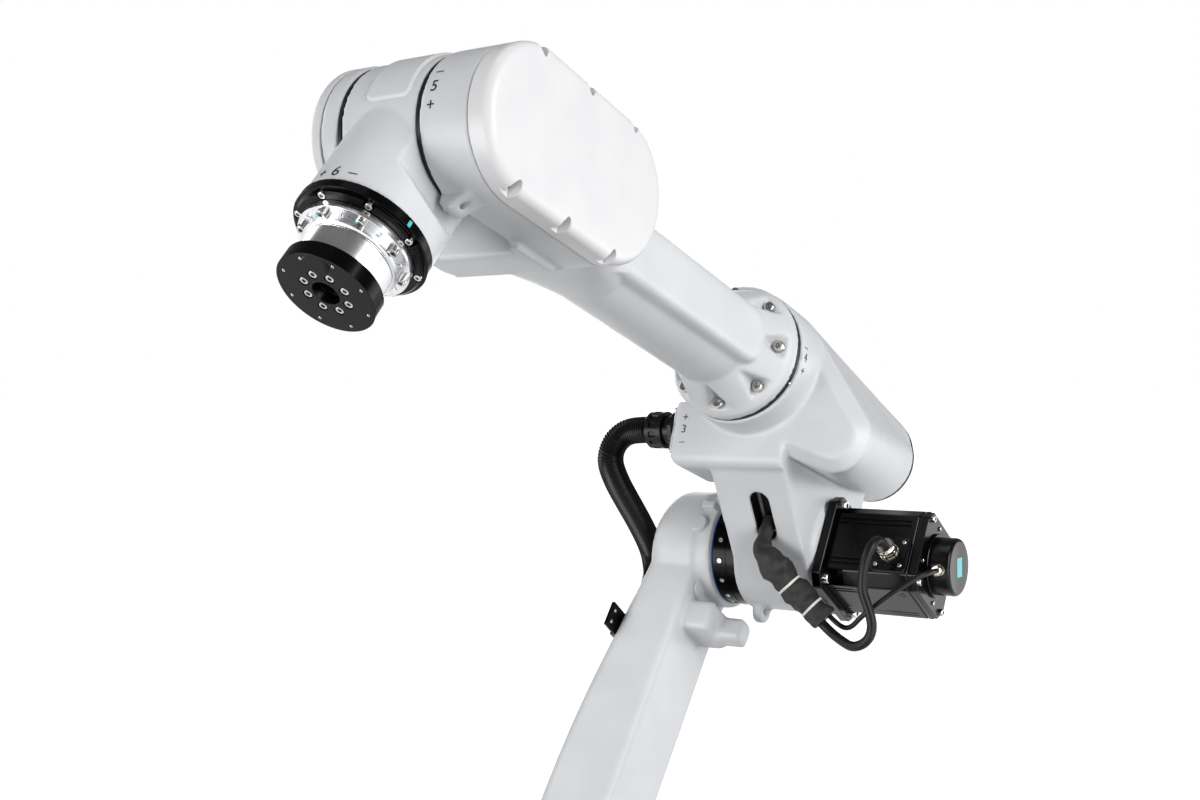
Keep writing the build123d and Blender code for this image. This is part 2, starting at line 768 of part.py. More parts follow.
fork_width = fork_outer_face + fork_far_face
lug_turn = radians(fork_lug_angle)
lug_foot = (forearm_length, fork_inner_face, 0)
fork_lug_plane = Plane(origin=lug_foot, x_dir=(0, 1, 0), z_dir=(sin(lug_turn), 0, -cos(lug_turn)))
fork_lug_end = Plane(origin=lug_foot, x_dir=fork_lug_plane.y_dir, z_dir=(0, 1, 0))
with BuildPart() as forearm_casting:
    with BuildSketch(Plane.XZ):
        Polygon(
            (-forearm_flange_thickness, 0), (-forearm_flange_thickness, forearm_flange_radius),
            (-forearm_rim_slope, forearm_flange_radius), (0, forearm_rim_radius),
            (forearm_neck_length, tube_root_radius), (tube_length, tube_end_radius), (tube_length, 0),
            align=None,
        )
    revolve(axis=Axis.X)
    with BuildSketch(Plane.YZ):
        pocket_reach = forearm_flange_radius + cut_overrun - forearm_pocket_apex
        pocket_spread = pocket_reach * tan(radians(forearm_pocket_half_angle))
        with PolarLocations(forearm_pocket_apex, forearm_bolt_count):
            Polygon((0, 0), (pocket_reach, -pocket_spread), (pocket_reach, pocket_spread), align=None)
    extrude(amount=forearm_neck_length + cut_overrun, mode=Mode.SUBTRACT)
    add(side_pad.part)
    with BuildSketch(Plane.XZ.offset(fork_far_face)):
        with Locations((fork_root, 0), (forearm_length, 0)):
            Circle(fork_radius)
        make_hull()
    extrude(amount=-fork_width)
    with BuildSketch(fork_lug_plane):
        Polygon(
            (0, fork_radius - fork_lug_root), (fork_lug_reach, fork_radius - fork_lug_root),
            (fork_lug_reach, fork_radius), (fork_lug_slope + fork_lug_flat, fork_radius + fork_lug_high_rise),
            (fork_lug_slope, fork_radius + fork_lug_high_rise), (0, fork_radius + fork_lug_low_rise), align=None,
        )
    extrude(amount=fork_lug_width / 2, both=True)
    with BuildSketch(fork_lug_end):
        with Locations((fork_radius + fork_lug_hole_rise, 0)):
            Circle(fork_lug_hole_radius)
    extrude(amount=fork_lug_reach, mode=Mode.SUBTRACT)
    with BuildSketch(Plane.YZ.offset(cheek_start)):
        Circle(tube_end_radius)
    with BuildSketch(Plane.YZ.offset(fork_root)):
        with Locations(((fork_outer_face - fork_far_face) / 2, 0)):
            RectangleRounded(fork_width, 2 * cheek_half_height, cheek_radius)
    loft()
    with BuildSketch(Plane.XZ):
        with BuildLine():
            chin_end = forearm_length - palm_gap_radius
            chin_mid = (chin_start + chin_end - chin_flat_length) / 2
            chin_root = (chin_start, -tube_end_radius / 2)
            chin_heel = (chin_end - chin_flat_length, -chin_depth)
            ThreePointArc(chin_root, (chin_mid, -chin_depth * chin_sag_share), chin_heel)
            Polyline(chin_heel, (chin_end, -chin_depth), (chin_end, 0), (chin_start, 0), chin_root)
        make_face()
    extrude(amount=chin_half_width, both=True)
    with BuildSketch(Plane.XZ):
        swing_reach = forearm_length
        swing_clear = stem_radius + side_clearance
        swing_rear = Vector(cos(radians(wrist_swing)), sin(radians(wrist_swing))) * swing_reach
        swing_foot = Vector(-sin(radians(wrist_swing)), cos(radians(wrist_swing))) * swing_clear
        swing_far = swing_foot + swing_rear
        with Locations((forearm_length, 0)):
            Circle(palm_gap_radius)
            Polygon(
                (-swing_clear / sin(radians(wrist_swing)), 0), (swing_far.X, swing_far.Y),
                (swing_reach, swing_far.Y), (swing_reach, -swing_far.Y),
                (swing_far.X, -swing_far.Y), align=None,
            )
    extrude(amount=fork_inner_face, both=True, mode=Mode.SUBTRACT)
save(forearm_casting, "forearm_casting", forearm_frame)

forearm_flange_screws = cap_screws(
    forearm_bolt_circle_radius, forearm_bolt_count, 0,
    screw_head_radius, screw_head_height, screw_socket_radius, screw_socket_depth,
)
save(forearm_flange_screws, "forearm_flange_screws", forearm_frame)

with BuildPart() as wrist_cover:
    with BuildSketch(Plane.XZ.offset(-fork_outer_face)):
        with Locations((fork_root, 0), (forearm_length, 0)):
            Circle(fork_radius)
        make_hull()
    extrude(amount=-wrist_cover_thickness)
    fillet(wrist_cover.edges().group_by(Axis.Y)[-1], radius=wrist_cover_fillet)
save(wrist_cover, "wrist_cover", forearm_frame)

with BuildPart() as wrist_side_cap:
    with BuildSketch(Plane.XZ.offset(fork_far_face)):
        with Locations((fork_root, 0), (forearm_length, 0)):
            Circle(fork_radius)
        make_hull()
    extrude(amount=side_cap_thickness)
    fillet(wrist_side_cap.edges().group_by(Axis.Y)[0], radius=side_cap_fillet)
save(wrist_side_cap, "wrist_side_cap", forearm_frame)

cross_tube_half = fork_inner_face - side_clearance
with BuildPart() as axis5_seals:
    for side, direction in ((1, to_right), (-1, to_left)):
        with Locations((forearm_length, side * fork_inner_face, 0)):
            Cylinder(axis5_seal_radius, side_clearance - running_gap, rotation=direction, align=from_base)
save(axis5_seals, "axis5_seals", forearm_frame)

# Wrist
with BuildPart() as wrist_casting:
    Cylinder(cross_tube_radius, 2 * cross_tube_half, rotation=to_left)
    Cylinder(stem_radius, stem_length, rotation=to_front, align=from_base)
    with BuildSketch():
        flat_depth = stem_radius + cut_overrun - cross_tube_half
        flat_rear = -cross_tube_radius - cut_overrun
        Polygon(
            (flat_rear, cross_tube_half), (stem_shoulder, cross_tube_half),
            (stem_shoulder + flat_depth, cross_tube_half + flat_depth),
            (flat_rear, cross_tube_half + flat_depth), align=None,
        )
        mirror(about=Plane.XZ)
    extrude(amount=cross_tube_radius + cut_overrun, both=True, mode=Mode.SUBTRACT)
save(wrist_casting, "wrist_casting", wrist_frame)

with BuildPart() as wrist_access_panel:
    with BuildSketch(Plane.XZ.offset(-access_panel_shift)):
        with BuildLine():
            panel_high = cross_tube_radius + access_panel_rise
            CenterArc((0, 0), cross_tube_radius, access_panel_start, access_panel_sweep)
            CenterArc((0, 0), panel_high, access_panel_start, access_panel_sweep)
            for angle in (access_panel_start, access_panel_start + access_panel_sweep):
                ray = Vector(cos(radians(angle)), sin(radians(angle)))
                Line(ray * cross_tube_radius, ray * panel_high)
        make_face()
    extrude(amount=access_panel_half_width, both=True)
save(wrist_access_panel, "wrist_access_panel", wrist_frame)

with BuildPart() as axis6_ring:
    with Locations((stem_length, 0, 0)):
        Cylinder(axis6_ring_radius, axis6_ring_length, rotation=to_front, align=from_base)
    chamfer(axis6_ring.edges().group_by(Axis.X)[-1], length=axis6_ring_chamfer)
save(axis6_ring, "axis6_ring", wrist_frame)

# Tool flange
adapter_start = stem_length + axis6_ring_length + running_gap
plate_start = stem_length + axis6_ring_length + adapter_length
with BuildPart() as tool_adapter:
    with Locations((adapter_start, 0, 0)):
        Cylinder(adapter_flange_radius, adapter_flange_thickness, rotation=to_front, align=from_base)
        Cylinder(adapter_body_radius, plate_start - adapter_start, rotation=to_front, align=from_base)
    with BuildSketch(Plane.YZ.offset(adapter_start + adapter_flange_thickness)):
        with PolarLocations(adapter_bolt_circle_radius, adapter_bolt_count, 180 / adapter_bolt_count):
            Circle(adapter_jack_hole_radius)
    extrude(amount=-adapter_jack_hole_depth, mode=Mode.SUBTRACT)
save(tool_adapter, "tool_adapter", wrist_frame)

tool_adapter_screws = cap_screws(
    adapter_bolt_circle_radius, adapter_bolt_count, 0,
    adapter_screw_radius, adapter_screw_height, adapter_screw_radius / 2, adapter_screw_height / 2,
)
adapter_screw_seat = Location((adapter_start + adapter_flange_thickness, 0, 0))
save(tool_adapter_screws, "tool_adapter_screws", wrist_frame * adapter_screw_seat)

plate_face = Plane.YZ.offset(plate_start + tool_plate_thickness)
with BuildPart() as tool_plate:
    with BuildSketch(Plane.YZ.offset(plate_start)):
        Circle(tool_plate_radius)
    extrude(amount=tool_plate_thickness)
    with BuildSketch(plate_face):
        Circle(tool_bore_radius)
    extrude(amount=-tool_bore_depth, mode=Mode.SUBTRACT)
    with BuildSketch(plate_face):
        with PolarLocations(tool_bolt_circle_radius, tool_bolt_count):
            Circle(tool_counterbore_radius)
    extrude(amount=-tool_counterbore_depth, mode=Mode.SUBTRACT)
    with BuildSketch(plate_face):
        with PolarLocations(tool_rim_circle_radius, tool_bolt_count):
            Circle(tool_rim_hole_radius)
    extrude(amount=-tool_rim_hole_depth, mode=Mode.SUBTRACT)
save(tool_plate, "tool_plate", wrist_frame)

tool_plate_screws = cap_screws(
    tool_bolt_circle_radius, tool_bolt_count, 0,
    tool_screw_radius, tool_screw_height, tool_screw_radius / 2, tool_screw_height / 2,
)
plate_screw_seat = Location((plate_start + tool_plate_thickness - tool_counterbore_depth, 0, 0))
save(tool_plate_screws, "tool_plate_screws", wrist_frame * plate_screw_seat)
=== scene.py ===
import json

import bmesh
import bpy
import numpy as np
from mathutils import Matrix, Vector


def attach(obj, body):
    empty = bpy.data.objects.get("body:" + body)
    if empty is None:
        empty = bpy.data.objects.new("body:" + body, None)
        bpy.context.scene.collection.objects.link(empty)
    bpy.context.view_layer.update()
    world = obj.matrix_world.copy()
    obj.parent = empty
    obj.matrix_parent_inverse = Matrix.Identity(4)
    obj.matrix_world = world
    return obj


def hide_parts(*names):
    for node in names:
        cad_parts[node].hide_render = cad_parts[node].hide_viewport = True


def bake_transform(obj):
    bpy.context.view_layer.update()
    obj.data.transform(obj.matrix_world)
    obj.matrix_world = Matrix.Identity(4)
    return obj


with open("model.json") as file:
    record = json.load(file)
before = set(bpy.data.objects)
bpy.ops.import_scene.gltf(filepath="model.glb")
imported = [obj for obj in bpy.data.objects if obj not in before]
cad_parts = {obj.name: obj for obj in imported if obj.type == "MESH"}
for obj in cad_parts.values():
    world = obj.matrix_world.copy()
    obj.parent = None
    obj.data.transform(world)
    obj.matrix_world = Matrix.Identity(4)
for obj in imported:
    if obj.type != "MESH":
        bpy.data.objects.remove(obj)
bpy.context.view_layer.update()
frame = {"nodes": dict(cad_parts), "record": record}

# Sizes below are in millimetres unless a name says otherwise; the scene itself is in metres.
MM = 0.001
record = frame["record"]
joints = {joint["name"]: joint for joint in record["behaviour"]["joints"]}
body_of = {node: body for body, nodes in record["behaviour"]["bodies"].items() for node in nodes}
slot_of = {subpart["node"]: subpart["material_slot"] for subpart in record["subparts"]}


# Frames
def link_frame(origin, ahead):
    """The 4x4 frame of a link: X along ahead, Y to the robot's left, Z square to both."""
    x_axis = np.array(ahead, float) / np.linalg.norm(ahead)
    y_axis = np.array((0.0, 1.0, 0.0))
    matrix = np.eye(4)
    matrix[:3, 0] = x_axis
    matrix[:3, 1] = y_axis
    matrix[:3, 2] = np.cross(x_axis, y_axis)
    matrix[:3, 3] = origin
    return matrix


def to_row(link, points):
    """Points in a link's millimetres become points of the row frame in metres."""
    return np.asarray(points, float) * MM @ link[:3, :3].T + link[:3, 3]


def seat(link, origin, out, across):
    """A frame on a link: its Z points out of the surface at origin and its X lies across it."""
    z_axis = np.array(out, float) / np.linalg.norm(out)
    x_axis = np.array(across, float) - z_axis * np.dot(across, z_axis)
    x_axis /= np.linalg.norm(x_axis)
    local = np.stack((x_axis, np.cross(z_axis, x_axis), z_axis), axis=1)
    matrix = np.eye(4)
    matrix[:3, :3] = link[:3, :3] @ local
    matrix[:3, 3] = to_row(link, origin)
    return matrix


shoulder_at = np.array(joints["axis2"]["pos_m"])
elbow_at = np.array(joints["axis3"]["pos_m"])
arm_up = (elbow_at - shoulder_at) / np.linalg.norm(elbow_at - shoulder_at)
floor_link = np.eye(4)
arm_link = link_frame(shoulder_at, (arm_up[2], 0.0, -arm_up[0]))
elbow_link = link_frame(elbow_at, joints["axis4"]["axis"])
forearm_link = link_frame(joints["axis4"]["pos_m"], joints["axis4"]["axis"])
wrist_link = link_frame(joints["axis5"]["pos_m"], joints["axis6"]["axis"])


# Materials
def linear(hex_colour):
    """An sRGB hex colour as linear RGBA."""
    srgb = np.array([int(hex_colour[i : i + 2], 16) for i in (1, 3, 5)]) / 255
    rgb = np.where(srgb <= 0.04045, srgb / 12.92, ((srgb + 0.055) / 1.055) ** 2.4)
    return (*rgb, 1.0)


def add_node(tree, kind, inputs=(), **settings):
    """Adds a node with its settings; an input that is a socket is linked, any other is set."""
    node = tree.nodes.new(kind)
    for key, value in settings.items():
        setattr(node, key, value)
    for key, value in dict(inputs).items():
        if isinstance(value, bpy.types.NodeSocket):
            tree.links.new(value, node.inputs[key])
        else:
            node.inputs[key].default_value = value
    return node


def finish(name, tones, patch, rough, grain, depth, **shader):
    """A real finish: two close tones in patches, and a fine grain that moves the roughness and stands proud.

    The sizes of a patch and of a grain, and the grain's depth, are in millimetres.
    """
    material = bpy.data.materials.new(name)
    material.use_nodes = True
    tree = material.node_tree
    tree.nodes.clear()
    coords = add_node(tree, "ShaderNodeTexCoord").outputs["Object"]
    broad = add_node(tree, "ShaderNodeTexNoise", {"Vector": coords, "Scale": 1 / (patch * MM), "Detail": 2.0})
    fine = add_node(tree, "ShaderNodeTexNoise", {"Vector": coords, "Scale": 1 / (grain * MM), "Detail": 2.0})
    ramp = add_node(tree, "ShaderNodeValToRGB", {"Fac": broad.outputs["Fac"]})
    for stop, place, tone in zip(ramp.color_ramp.elements, (0.35, 0.65), tones):
        stop.position = place
        stop.color = linear(tone)
    spread = {"Value": fine.outputs["Fac"], "To Min": rough[0], "To Max": rough[1]}
    span = add_node(tree, "ShaderNodeMapRange", spread)
    bump = add_node(tree, "ShaderNodeBump", {"Height": fine.outputs["Fac"], "Distance": depth * MM})
    surface = {
        "Base Color": ramp.outputs["Color"],
        "Roughness": span.outputs["Result"],
        "Normal": bump.outputs["Normal"],
        **{key.replace("_", " "): value for key, value in shader.items()},
    }
    bsdf = add_node(tree, "ShaderNodeBsdfPrincipled", surface)
    add_node(tree, "ShaderNodeOutputMaterial", {"Surface": bsdf.outputs["BSDF"]})
    return material


finishes = {
    # Polyester powder coat: a satin pale grey with a fine orange peel that softens each highlight
    "pearl_grey_paint": finish(
        "pearl_grey_powder_coat", tones=("#C6C8CB", "#CBCDCF"), patch=60, rough=(0.34, 0.44), grain=2.2,
        depth=0.05, Specular_IOR_Level=0.34,
    ),
    # Moulded ABS: whiter than the castings, with a slight spark-eroded grain
    "white_cover": finish(
        "white_moulded_abs", tones=("#D2D2D4", "#D6D6D7"), patch=40, rough=(0.34, 0.42), grain=1.6, depth=0.03
    ),
    # Anodised aluminium: a deep black skin with faint turning marks in its sheen
    "black_anodised": finish(
        "black_anodised", tones=("#020203", "#040405"), patch=25, rough=(0.14, 0.22), grain=0.8, depth=0.004,
        Specular_IOR_Level=0.1,
    ),
    # Gloss enamel: deep black with sharp highlights and a slight wave
    "motor_black": finish(
        "gloss_black_enamel", tones=("#030304", "#050506"), patch=30, rough=(0.18, 0.26), grain=3.0,
        depth=0.02, Specular_IOR_Level=0.22,
    ),
    # Nickel plate on brass: warm bright metal, a little dulled by handling
    "nickel_plugs": finish(
        "nickel_plate", tones=("#A9A399", "#BDB7AC"), patch=12, rough=(0.14, 0.22), grain=0.7, depth=0.003,
        Metallic=1.0,
    ),
    # Turned aluminium: pale bright metal with fine tool marks
    "bright_aluminium": finish(
        "turned_aluminium", tones=("#CFD0D2", "#DBDCDD"), patch=12, rough=(0.18, 0.26), grain=0.7,
        depth=0.002, Metallic=1.0,
    ),
    # Stainless steel: greyer bright metal for the screw heads
    "steel_screws": finish(
        "stainless_steel", tones=("#B2B0AC", "#C4C2BE"), patch=10, rough=(0.14, 0.22), grain=0.7,
        depth=0.003, Metallic=1.0,
    ),
    # Cable jacket: dull soft black with a broad sheen
    "black_rubber": finish(
        "rubber_jacket", tones=("#060607", "#0A0A0B"), patch=35, rough=(0.36, 0.46), grain=1.0, depth=0.01,
        Specular_IOR_Level=0.25,
    ),
    # Corrugated polyamide: a harder black whose ribs catch bright lines
    "black_conduit": finish(
        "black_polyamide", tones=("#030304", "#050506"), patch=35, rough=(0.24, 0.34), grain=1.0, depth=0.01,
        Specular_IOR_Level=0.22,
    ),
    # Woven sleeve: matt charcoal cloth with a fine thread grain
    "black_fabric": finish(
        "woven_polyester", tones=("#070607", "#0D0C0D"), patch=18, rough=(0.6, 0.75), grain=0.9, depth=0.25,
        Sheen_Weight=0.03,
    ),
}
accents = {
    # Seal lip: a saturated blue rubber line between two parts
    "blue_seal": finish(
        "blue_seal_rubber", tones=("#1D4CA6", "#2557B4"), patch=15, rough=(0.4, 0.5), grain=1.0, depth=0.02
    ),
    # Blank sticker and paint dabs: flat teal film
    "teal_film": finish(
        "teal_film", tones=("#3FAFB4", "#48B7BC"), patch=15, rough=(0.35, 0.45), grain=1.0, depth=0.005
    ),
    # Cable ties and the stop's tip: natural nylon that reads as off-white; on the ties this pale tone is
    # partly painted highlight, for the glint seen across them
    "pale_nylon": finish(
        "nylon_and_painted_glint", tones=("#D5D3CC", "#DEDCD6"), patch=10, rough=(0.35, 0.45), grain=1.0, depth=0.01
    ),
    # Screen-printed ink: flat dark grey
    "printed_ink": finish(
        "printed_ink", tones=("#101012", "#161618"), patch=10, rough=(0.5, 0.6), grain=1.0, depth=0.005
    ),
}


# Surfaces
def grid_mesh(name, grid, caps=True):
    """A mesh over sheets of points in rows and columns: one face per cell, with columns that wrap round.

    The first and last row of each sheet can be closed by one face.
    """
    sheets, rows, columns = grid.shape[:3]
    index = np.arange(sheets * rows * columns).reshape(sheets, rows, columns)
    index = np.concatenate((index, index[:, :, :1]), axis=2)
    corners = (index[:, :-1, :-1], index[:, :-1, 1:], index[:, 1:, 1:], index[:, 1:, :-1])
    faces = np.stack(corners, axis=-1).reshape(-1, 4).tolist()
    if caps:
        faces += index[:, 0, columns - 1 :: -1].tolist() + index[:, -1, :columns].tolist()
    mesh = bpy.data.meshes.new(name)
    mesh.from_pydata(grid.reshape(-1, 3).tolist(), [], faces)
    return mesh


def show(name, mesh, body, finish_name, *nodes):
    """Puts a mesh on a body with its finish, in place of the CAD nodes that it stands for."""
    piece = bpy.data.objects.new(name, mesh)
    bpy.context.scene.collection.objects.link(piece)
    mesh.materials.clear()
    mesh.materials.append(finishes.get(finish_name) or accents[finish_name])
    mesh.shade_smooth()
    mesh.set_sharp_from_angle(angle=np.radians(34))
    if body:
        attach(piece, body)
    if nodes:
        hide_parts(*nodes)
    return piece


def welded(node):
    """A working copy of a CAD node's mesh with its faces joined along their edges."""
    work = bmesh.new()
    work.from_mesh(frame["nodes"][node].data)
    bmesh.ops.remove_doubles(work, verts=work.verts, dist=0.01 * MM)
    return work


def cast_skin(node, voxel, rounds):
    """A casting's outside: the CAD solid taken through a voxel grid and relaxed, which rounds its edges."""
    work = welded(node)
    mesh = bpy.data.meshes.new(node + "_skin")
    work.to_mesh(mesh)
    work.free()
    rough = bpy.data.objects.new(node + "_rough", mesh)
    bpy.context.scene.collection.objects.link(rough)
    remesh = rough.modifiers.new("voxels", "REMESH")
    remesh.mode = "VOXEL"
    remesh.voxel_size = voxel * MM
    relax = rough.modifiers.new("relax", "SMOOTH")
    relax.factor = 0.5
    relax.iterations = rounds
    graph = bpy.context.evaluated_depsgraph_get()
    skin = bpy.data.meshes.new_from_object(rough.evaluated_get(graph))
    bpy.data.objects.remove(rough)
    show(node + "_skin", skin, body_of[node], slot_of[node], node)


def machined(node, chamfer):
    """A turned or milled piece: the CAD solid with each sharp edge broken by a small chamfer."""
    work = welded(node)
    bmesh.ops.dissolve_limit(work, angle_limit=np.radians(0.5), verts=work.verts, edges=work.edges)
    sharp = [e for e in work.edges if len(e.link_faces) == 2 and e.calc_face_angle() > np.radians(35)]
    bmesh.ops.bevel(work, geom=sharp, offset=chamfer * MM, segments=1, affect="EDGES", clamp_overlap=True)
    mesh = bpy.data.meshes.new(node + "_machined")
    work.to_mesh(mesh)
    work.free()
    show(node + "_machined", mesh, body_of[node], slot_of[node], node)


def circle(sides):
    """A round outline: spine points at the centre and normals that turn right round."""
    turn = np.linspace(0, 2 * np.pi, sides, endpoint=False)
    normal = np.stack((np.cos(turn), np.sin(turn)), axis=-1)
    return 0 * normal, normal


def rounded(corners, steps=6, runs=0):
    """An outline round a polygon of corners, listed anticlockwise: spine points and outward normals.

    At each corner the normal turns in steps from one side's to the next's; runs adds points along a side.
    """
    corners = np.asarray(corners, float)
    sides = np.roll(corners, -1, axis=0) - corners
    leave = np.arctan2(-sides[:, 0], sides[:, 1])
    enter = np.roll(leave, 1)
    sweep = np.mod(leave - enter, 2 * np.pi)
    knots = np.arange(2 * len(corners) + 1)
    knot_turn = enter[0] + np.append(0.0, np.cumsum(np.stack((sweep, 0 * sweep), axis=-1)))
    knot_spot = np.concatenate((np.repeat(corners, 2, axis=0), corners[:1]))
    fine = np.append(np.linspace(0, 1, steps), 1 + np.linspace(0, 1, runs + 2)[1:-1])
    spots = (2 * np.arange(len(corners))[:, None] + fine).ravel()
    turn = np.interp(spots, knots, knot_turn)
    spine = np.stack([np.interp(spots, knots, knot_spot[:, k]) for k in (0, 1)], axis=-1)
    return spine, np.stack((np.cos(turn), np.sin(turn)), axis=-1)


def rectangle(width, height, bend):
    """The corners of a rectangle's spine, inside its rounded edge by the bend."""
    x, y = width / 2 - bend, height / 2 - bend
    return (-x, -y), (x, -y), (x, y), (-x, y)


def cut_square(side, cut, bend):
    """The corners of a cut-cornered square's spine, inside its rounded edge by the bend."""
    far, near = side / 2 - bend, side / 2 - cut - bend * (np.sqrt(2) - 1)
    quarter = np.array(((far, -near), (far, near)))
    turned = (quarter, quarter[:, ::-1] * (-1, 1), -quarter, quarter[:, ::-1] * (1, -1))
    return np.concatenate(turned)


def walled(place, outline, profile, limit=np.inf):
    """A wall round an outline: row (r, h) puts a point on the spine plus r along its normal, at height h.

    The limit, one number or one for each row and column, holds r down where a groove or window is cut.
    """
    spine, normal = outline
    reach, height = np.asarray(profile, float).T
    reach = np.minimum(reach[:, None], limit)
    flat = spine + reach[..., None] * normal
    rise = np.broadcast_to(height[:, None], flat.shape[:2])
    return to_row(place, np.concatenate((flat, rise[..., None]), axis=-1))[None]


def add_wall(name, body, finish_name, place, outline, profile, *nodes, limit=np.inf):
    """Shows one closed wall as a piece."""
    show(name, grid_mesh(name, walled(place, outline, profile, limit)), body, finish_name, *nodes)


def label(name, body, finish_name, place, width, height, bend, thickness):
    """A thin rounded plate, dab or sticker on its seat."""
    edge = min(0.3 * thickness, 0.5)
    profile = ((bend, -edge), (bend, thickness - edge), (bend - edge, thickness))
    add_wall(name, body, finish_name, place, rounded(rectangle(width, height, bend), 5), profile)


def screws(place, spots, radius, height, socket=0.5, sides=24):
    """Screw heads at spots on a seat: rows run up the head, over its edge and down a six-sided socket."""
    turn = np.linspace(0, 2 * np.pi, sides, endpoint=False)
    hexagon = socket * radius * np.cos(np.pi / 6) / np.cos(np.mod(turn, np.pi / 3) - np.pi / 6)
    edge = 0.14 * radius
    round_rows = np.array([radius, radius, radius - edge])[:, None] * np.ones(sides)
    reach = np.concatenate((round_rows, hexagon[None] * 1.06, hexagon[None] * 0.98))
    rise = np.array([0.0, height - edge, height, height, 0.45 * height])[:, None] * np.ones(sides)
    head = np.stack((reach * np.cos(turn), reach * np.sin(turn), rise), axis=-1)
    shift = np.pad(np.asarray(spots, float), ((0, 0), (0, 1)))
    return to_row(place, head[None] + shift[:, None, None, :])


def add_screws(name, body, place, spots, radius, height, *nodes, socket=0.5, sides=24):
    """Shows the screw heads of one seat as a piece."""
    heads = screws(place, spots, radius, height, socket, sides)
    show(name, grid_mesh(name, heads), body, "steel_screws", *nodes)


def ring_spots(radius, count, start_deg=0.0):
    """Points spaced evenly round a circle."""
    turn = np.radians(start_deg) + np.arange(count) * 2 * np.pi / count
    return np.stack((radius * np.cos(turn), radius * np.sin(turn)), axis=-1)


def tube(path, radius, sides, steady):
    """A tube: each path point carries a circle of its radius, square to the path and begun from steady."""
    along = np.gradient(path, axis=0)
    along /= np.linalg.norm(along, axis=1, keepdims=True)
    side = np.cross(along, steady)
    side /= np.linalg.norm(side, axis=1, keepdims=True)
    other = np.cross(along, side)
    turn = np.linspace(0, 2 * np.pi, sides, endpoint=False)
    reach = np.asarray(radius, float) * MM
    reach = np.broadcast_to(reach.reshape(len(reach), -1), (len(path), sides))[..., None]
    round_part = np.cos(turn)[None, :, None] * side[:, None] + np.sin(turn)[None, :, None] * other[:, None]
    return (path[:, None] + reach * round_part)[None]


def spline(name, route, thickness=0.0):
    """A cord's NURBS spline with the route's points as its control points."""
    curve = bpy.data.curves.new(name, "CURVE")
    curve.dimensions = "3D"
    curve.bevel_depth = thickness / 2 * MM
    curve.bevel_resolution = 6
    curve.resolution_u = 12
    run = curve.splines.new("NURBS")
    run.points.add(len(route) - 1)
    run.points.foreach_set("co", np.pad(route, ((0, 0), (0, 1)), constant_values=1.0).ravel())
    run.order_u = 3
    run.use_endpoint_u = True
    piece = bpy.data.objects.new(name, curve)
    bpy.context.scene.collection.objects.link(piece)
    return piece


def line_points(name, route, step):
    """Points at an even step along a route's spline."""
    guide = spline(name + "_guide", route)
    guide.data.resolution_u = 48
    line = bpy.data.meshes.new_from_object(guide.evaluated_get(bpy.context.evaluated_depsgraph_get()))
    points = np.empty(len(line.vertices) * 3)
    line.vertices.foreach_get("co", points)
    points = points.reshape(-1, 3)
    bpy.data.objects.remove(guide)
    return even_points(points, step)


def even_points(points, step):
    """A line taken again at an even step, in millimetres."""
    runs = np.linalg.norm(np.diff(points, axis=0), axis=1)
    points = points[np.concatenate(((True,), runs > 1e-9))]
    travel = np.concatenate(((0.0,), np.cumsum(np.linalg.norm(np.diff(points, axis=0), axis=1))))
    even = np.linspace(0, travel[-1], max(2, int(round(travel[-1] / (step * MM)))) + 1)
    return np.stack([np.interp(even, travel, points[:, axis]) for axis in range(3)], axis=-1)


def line_length(points):
    """The length of a line of points."""
    return float(np.linalg.norm(np.diff(points, axis=0), axis=1).sum())


# Castings
cast_skin("base_casting", 5.0, 6)
cast_skin("carousel_casting", 4.5, 6)
cast_skin("lower_arm", 3.2, 7)
cast_skin("elbow_casting", 2.6, 7)
cast_skin("forearm_casting", 2.4, 7)
cast_skin("wrist_casting", 2.0, 5)
cast_skin("gland_plate", 1.2, 3)

# Machined and moulded pieces
edge_chamfers = {
    "base_connector_panel": 1.0, "base_connectors": 1.5, "turntable_ring": 1.0, "rear_cover": 2.0,
    "axis4_seal": 0.8, "axis5_seals": 0.8, "tool_adapter": 0.6, "tool_plate": 0.5, "hose_bracket": 0.8,
    "wrist_side_cap": 0.5,
}
for node, chamfer in edge_chamfers.items():
    machined(node, chamfer)

# Wrist cover: a crowned cap with three scooped screw notches along each side
cover_seat = seat(forearm_link, (508.5, 99, 0), (0, 1, 0), (1, 0, 0))
cover_half_run = 64.5
cover_radius = 70.0
cover_edge = 10.0
cover_wall = 14.0
notch_floor = 9.0
notch_half_width = 5.5
notch_depth = 12.0
notch_places = np.array((-70.5, 4.5, 79.5))
cover_outline = rounded(((-cover_half_run, 0), (cover_half_run, 0)), 180, 120)
spot_along = (cover_outline[0] + cover_radius * cover_outline[1])[:, 0]
off_notch = np.abs(spot_along[:, None] - notch_places).min(axis=1) / notch_half_width
on_side = np.abs(cover_outline[1][:, 1]) > 0.9
scoop = np.where(on_side, notch_depth * np.sqrt(np.clip(1 - off_notch**2, 0, None)), 0.0)
arc = np.linspace(0, np.pi / 2, 9)
rim_reach = cover_radius - cover_edge * (1 - np.cos(arc))
rim_height = cover_wall + cover_edge * np.sin(arc)
cover_profile = np.concatenate((
    ((69.2, 0.2), (cover_radius, 1.0), (cover_radius, notch_floor), (cover_radius, notch_floor)),
    np.stack((rim_reach, rim_height), axis=-1),
    ((56.5, 24.2), (40.0, 24.7), (20.0, 25.0)),
))
cut_rows = np.arange(len(cover_profile)) >= 3
cover_limit = np.where(cut_rows[:, None], cover_radius - scoop, np.inf)
add_wall(
    "wrist_cover_shell", "forearm", "white_cover", cover_seat, cover_outline, cover_profile, "wrist_cover",
    limit=cover_limit,
)
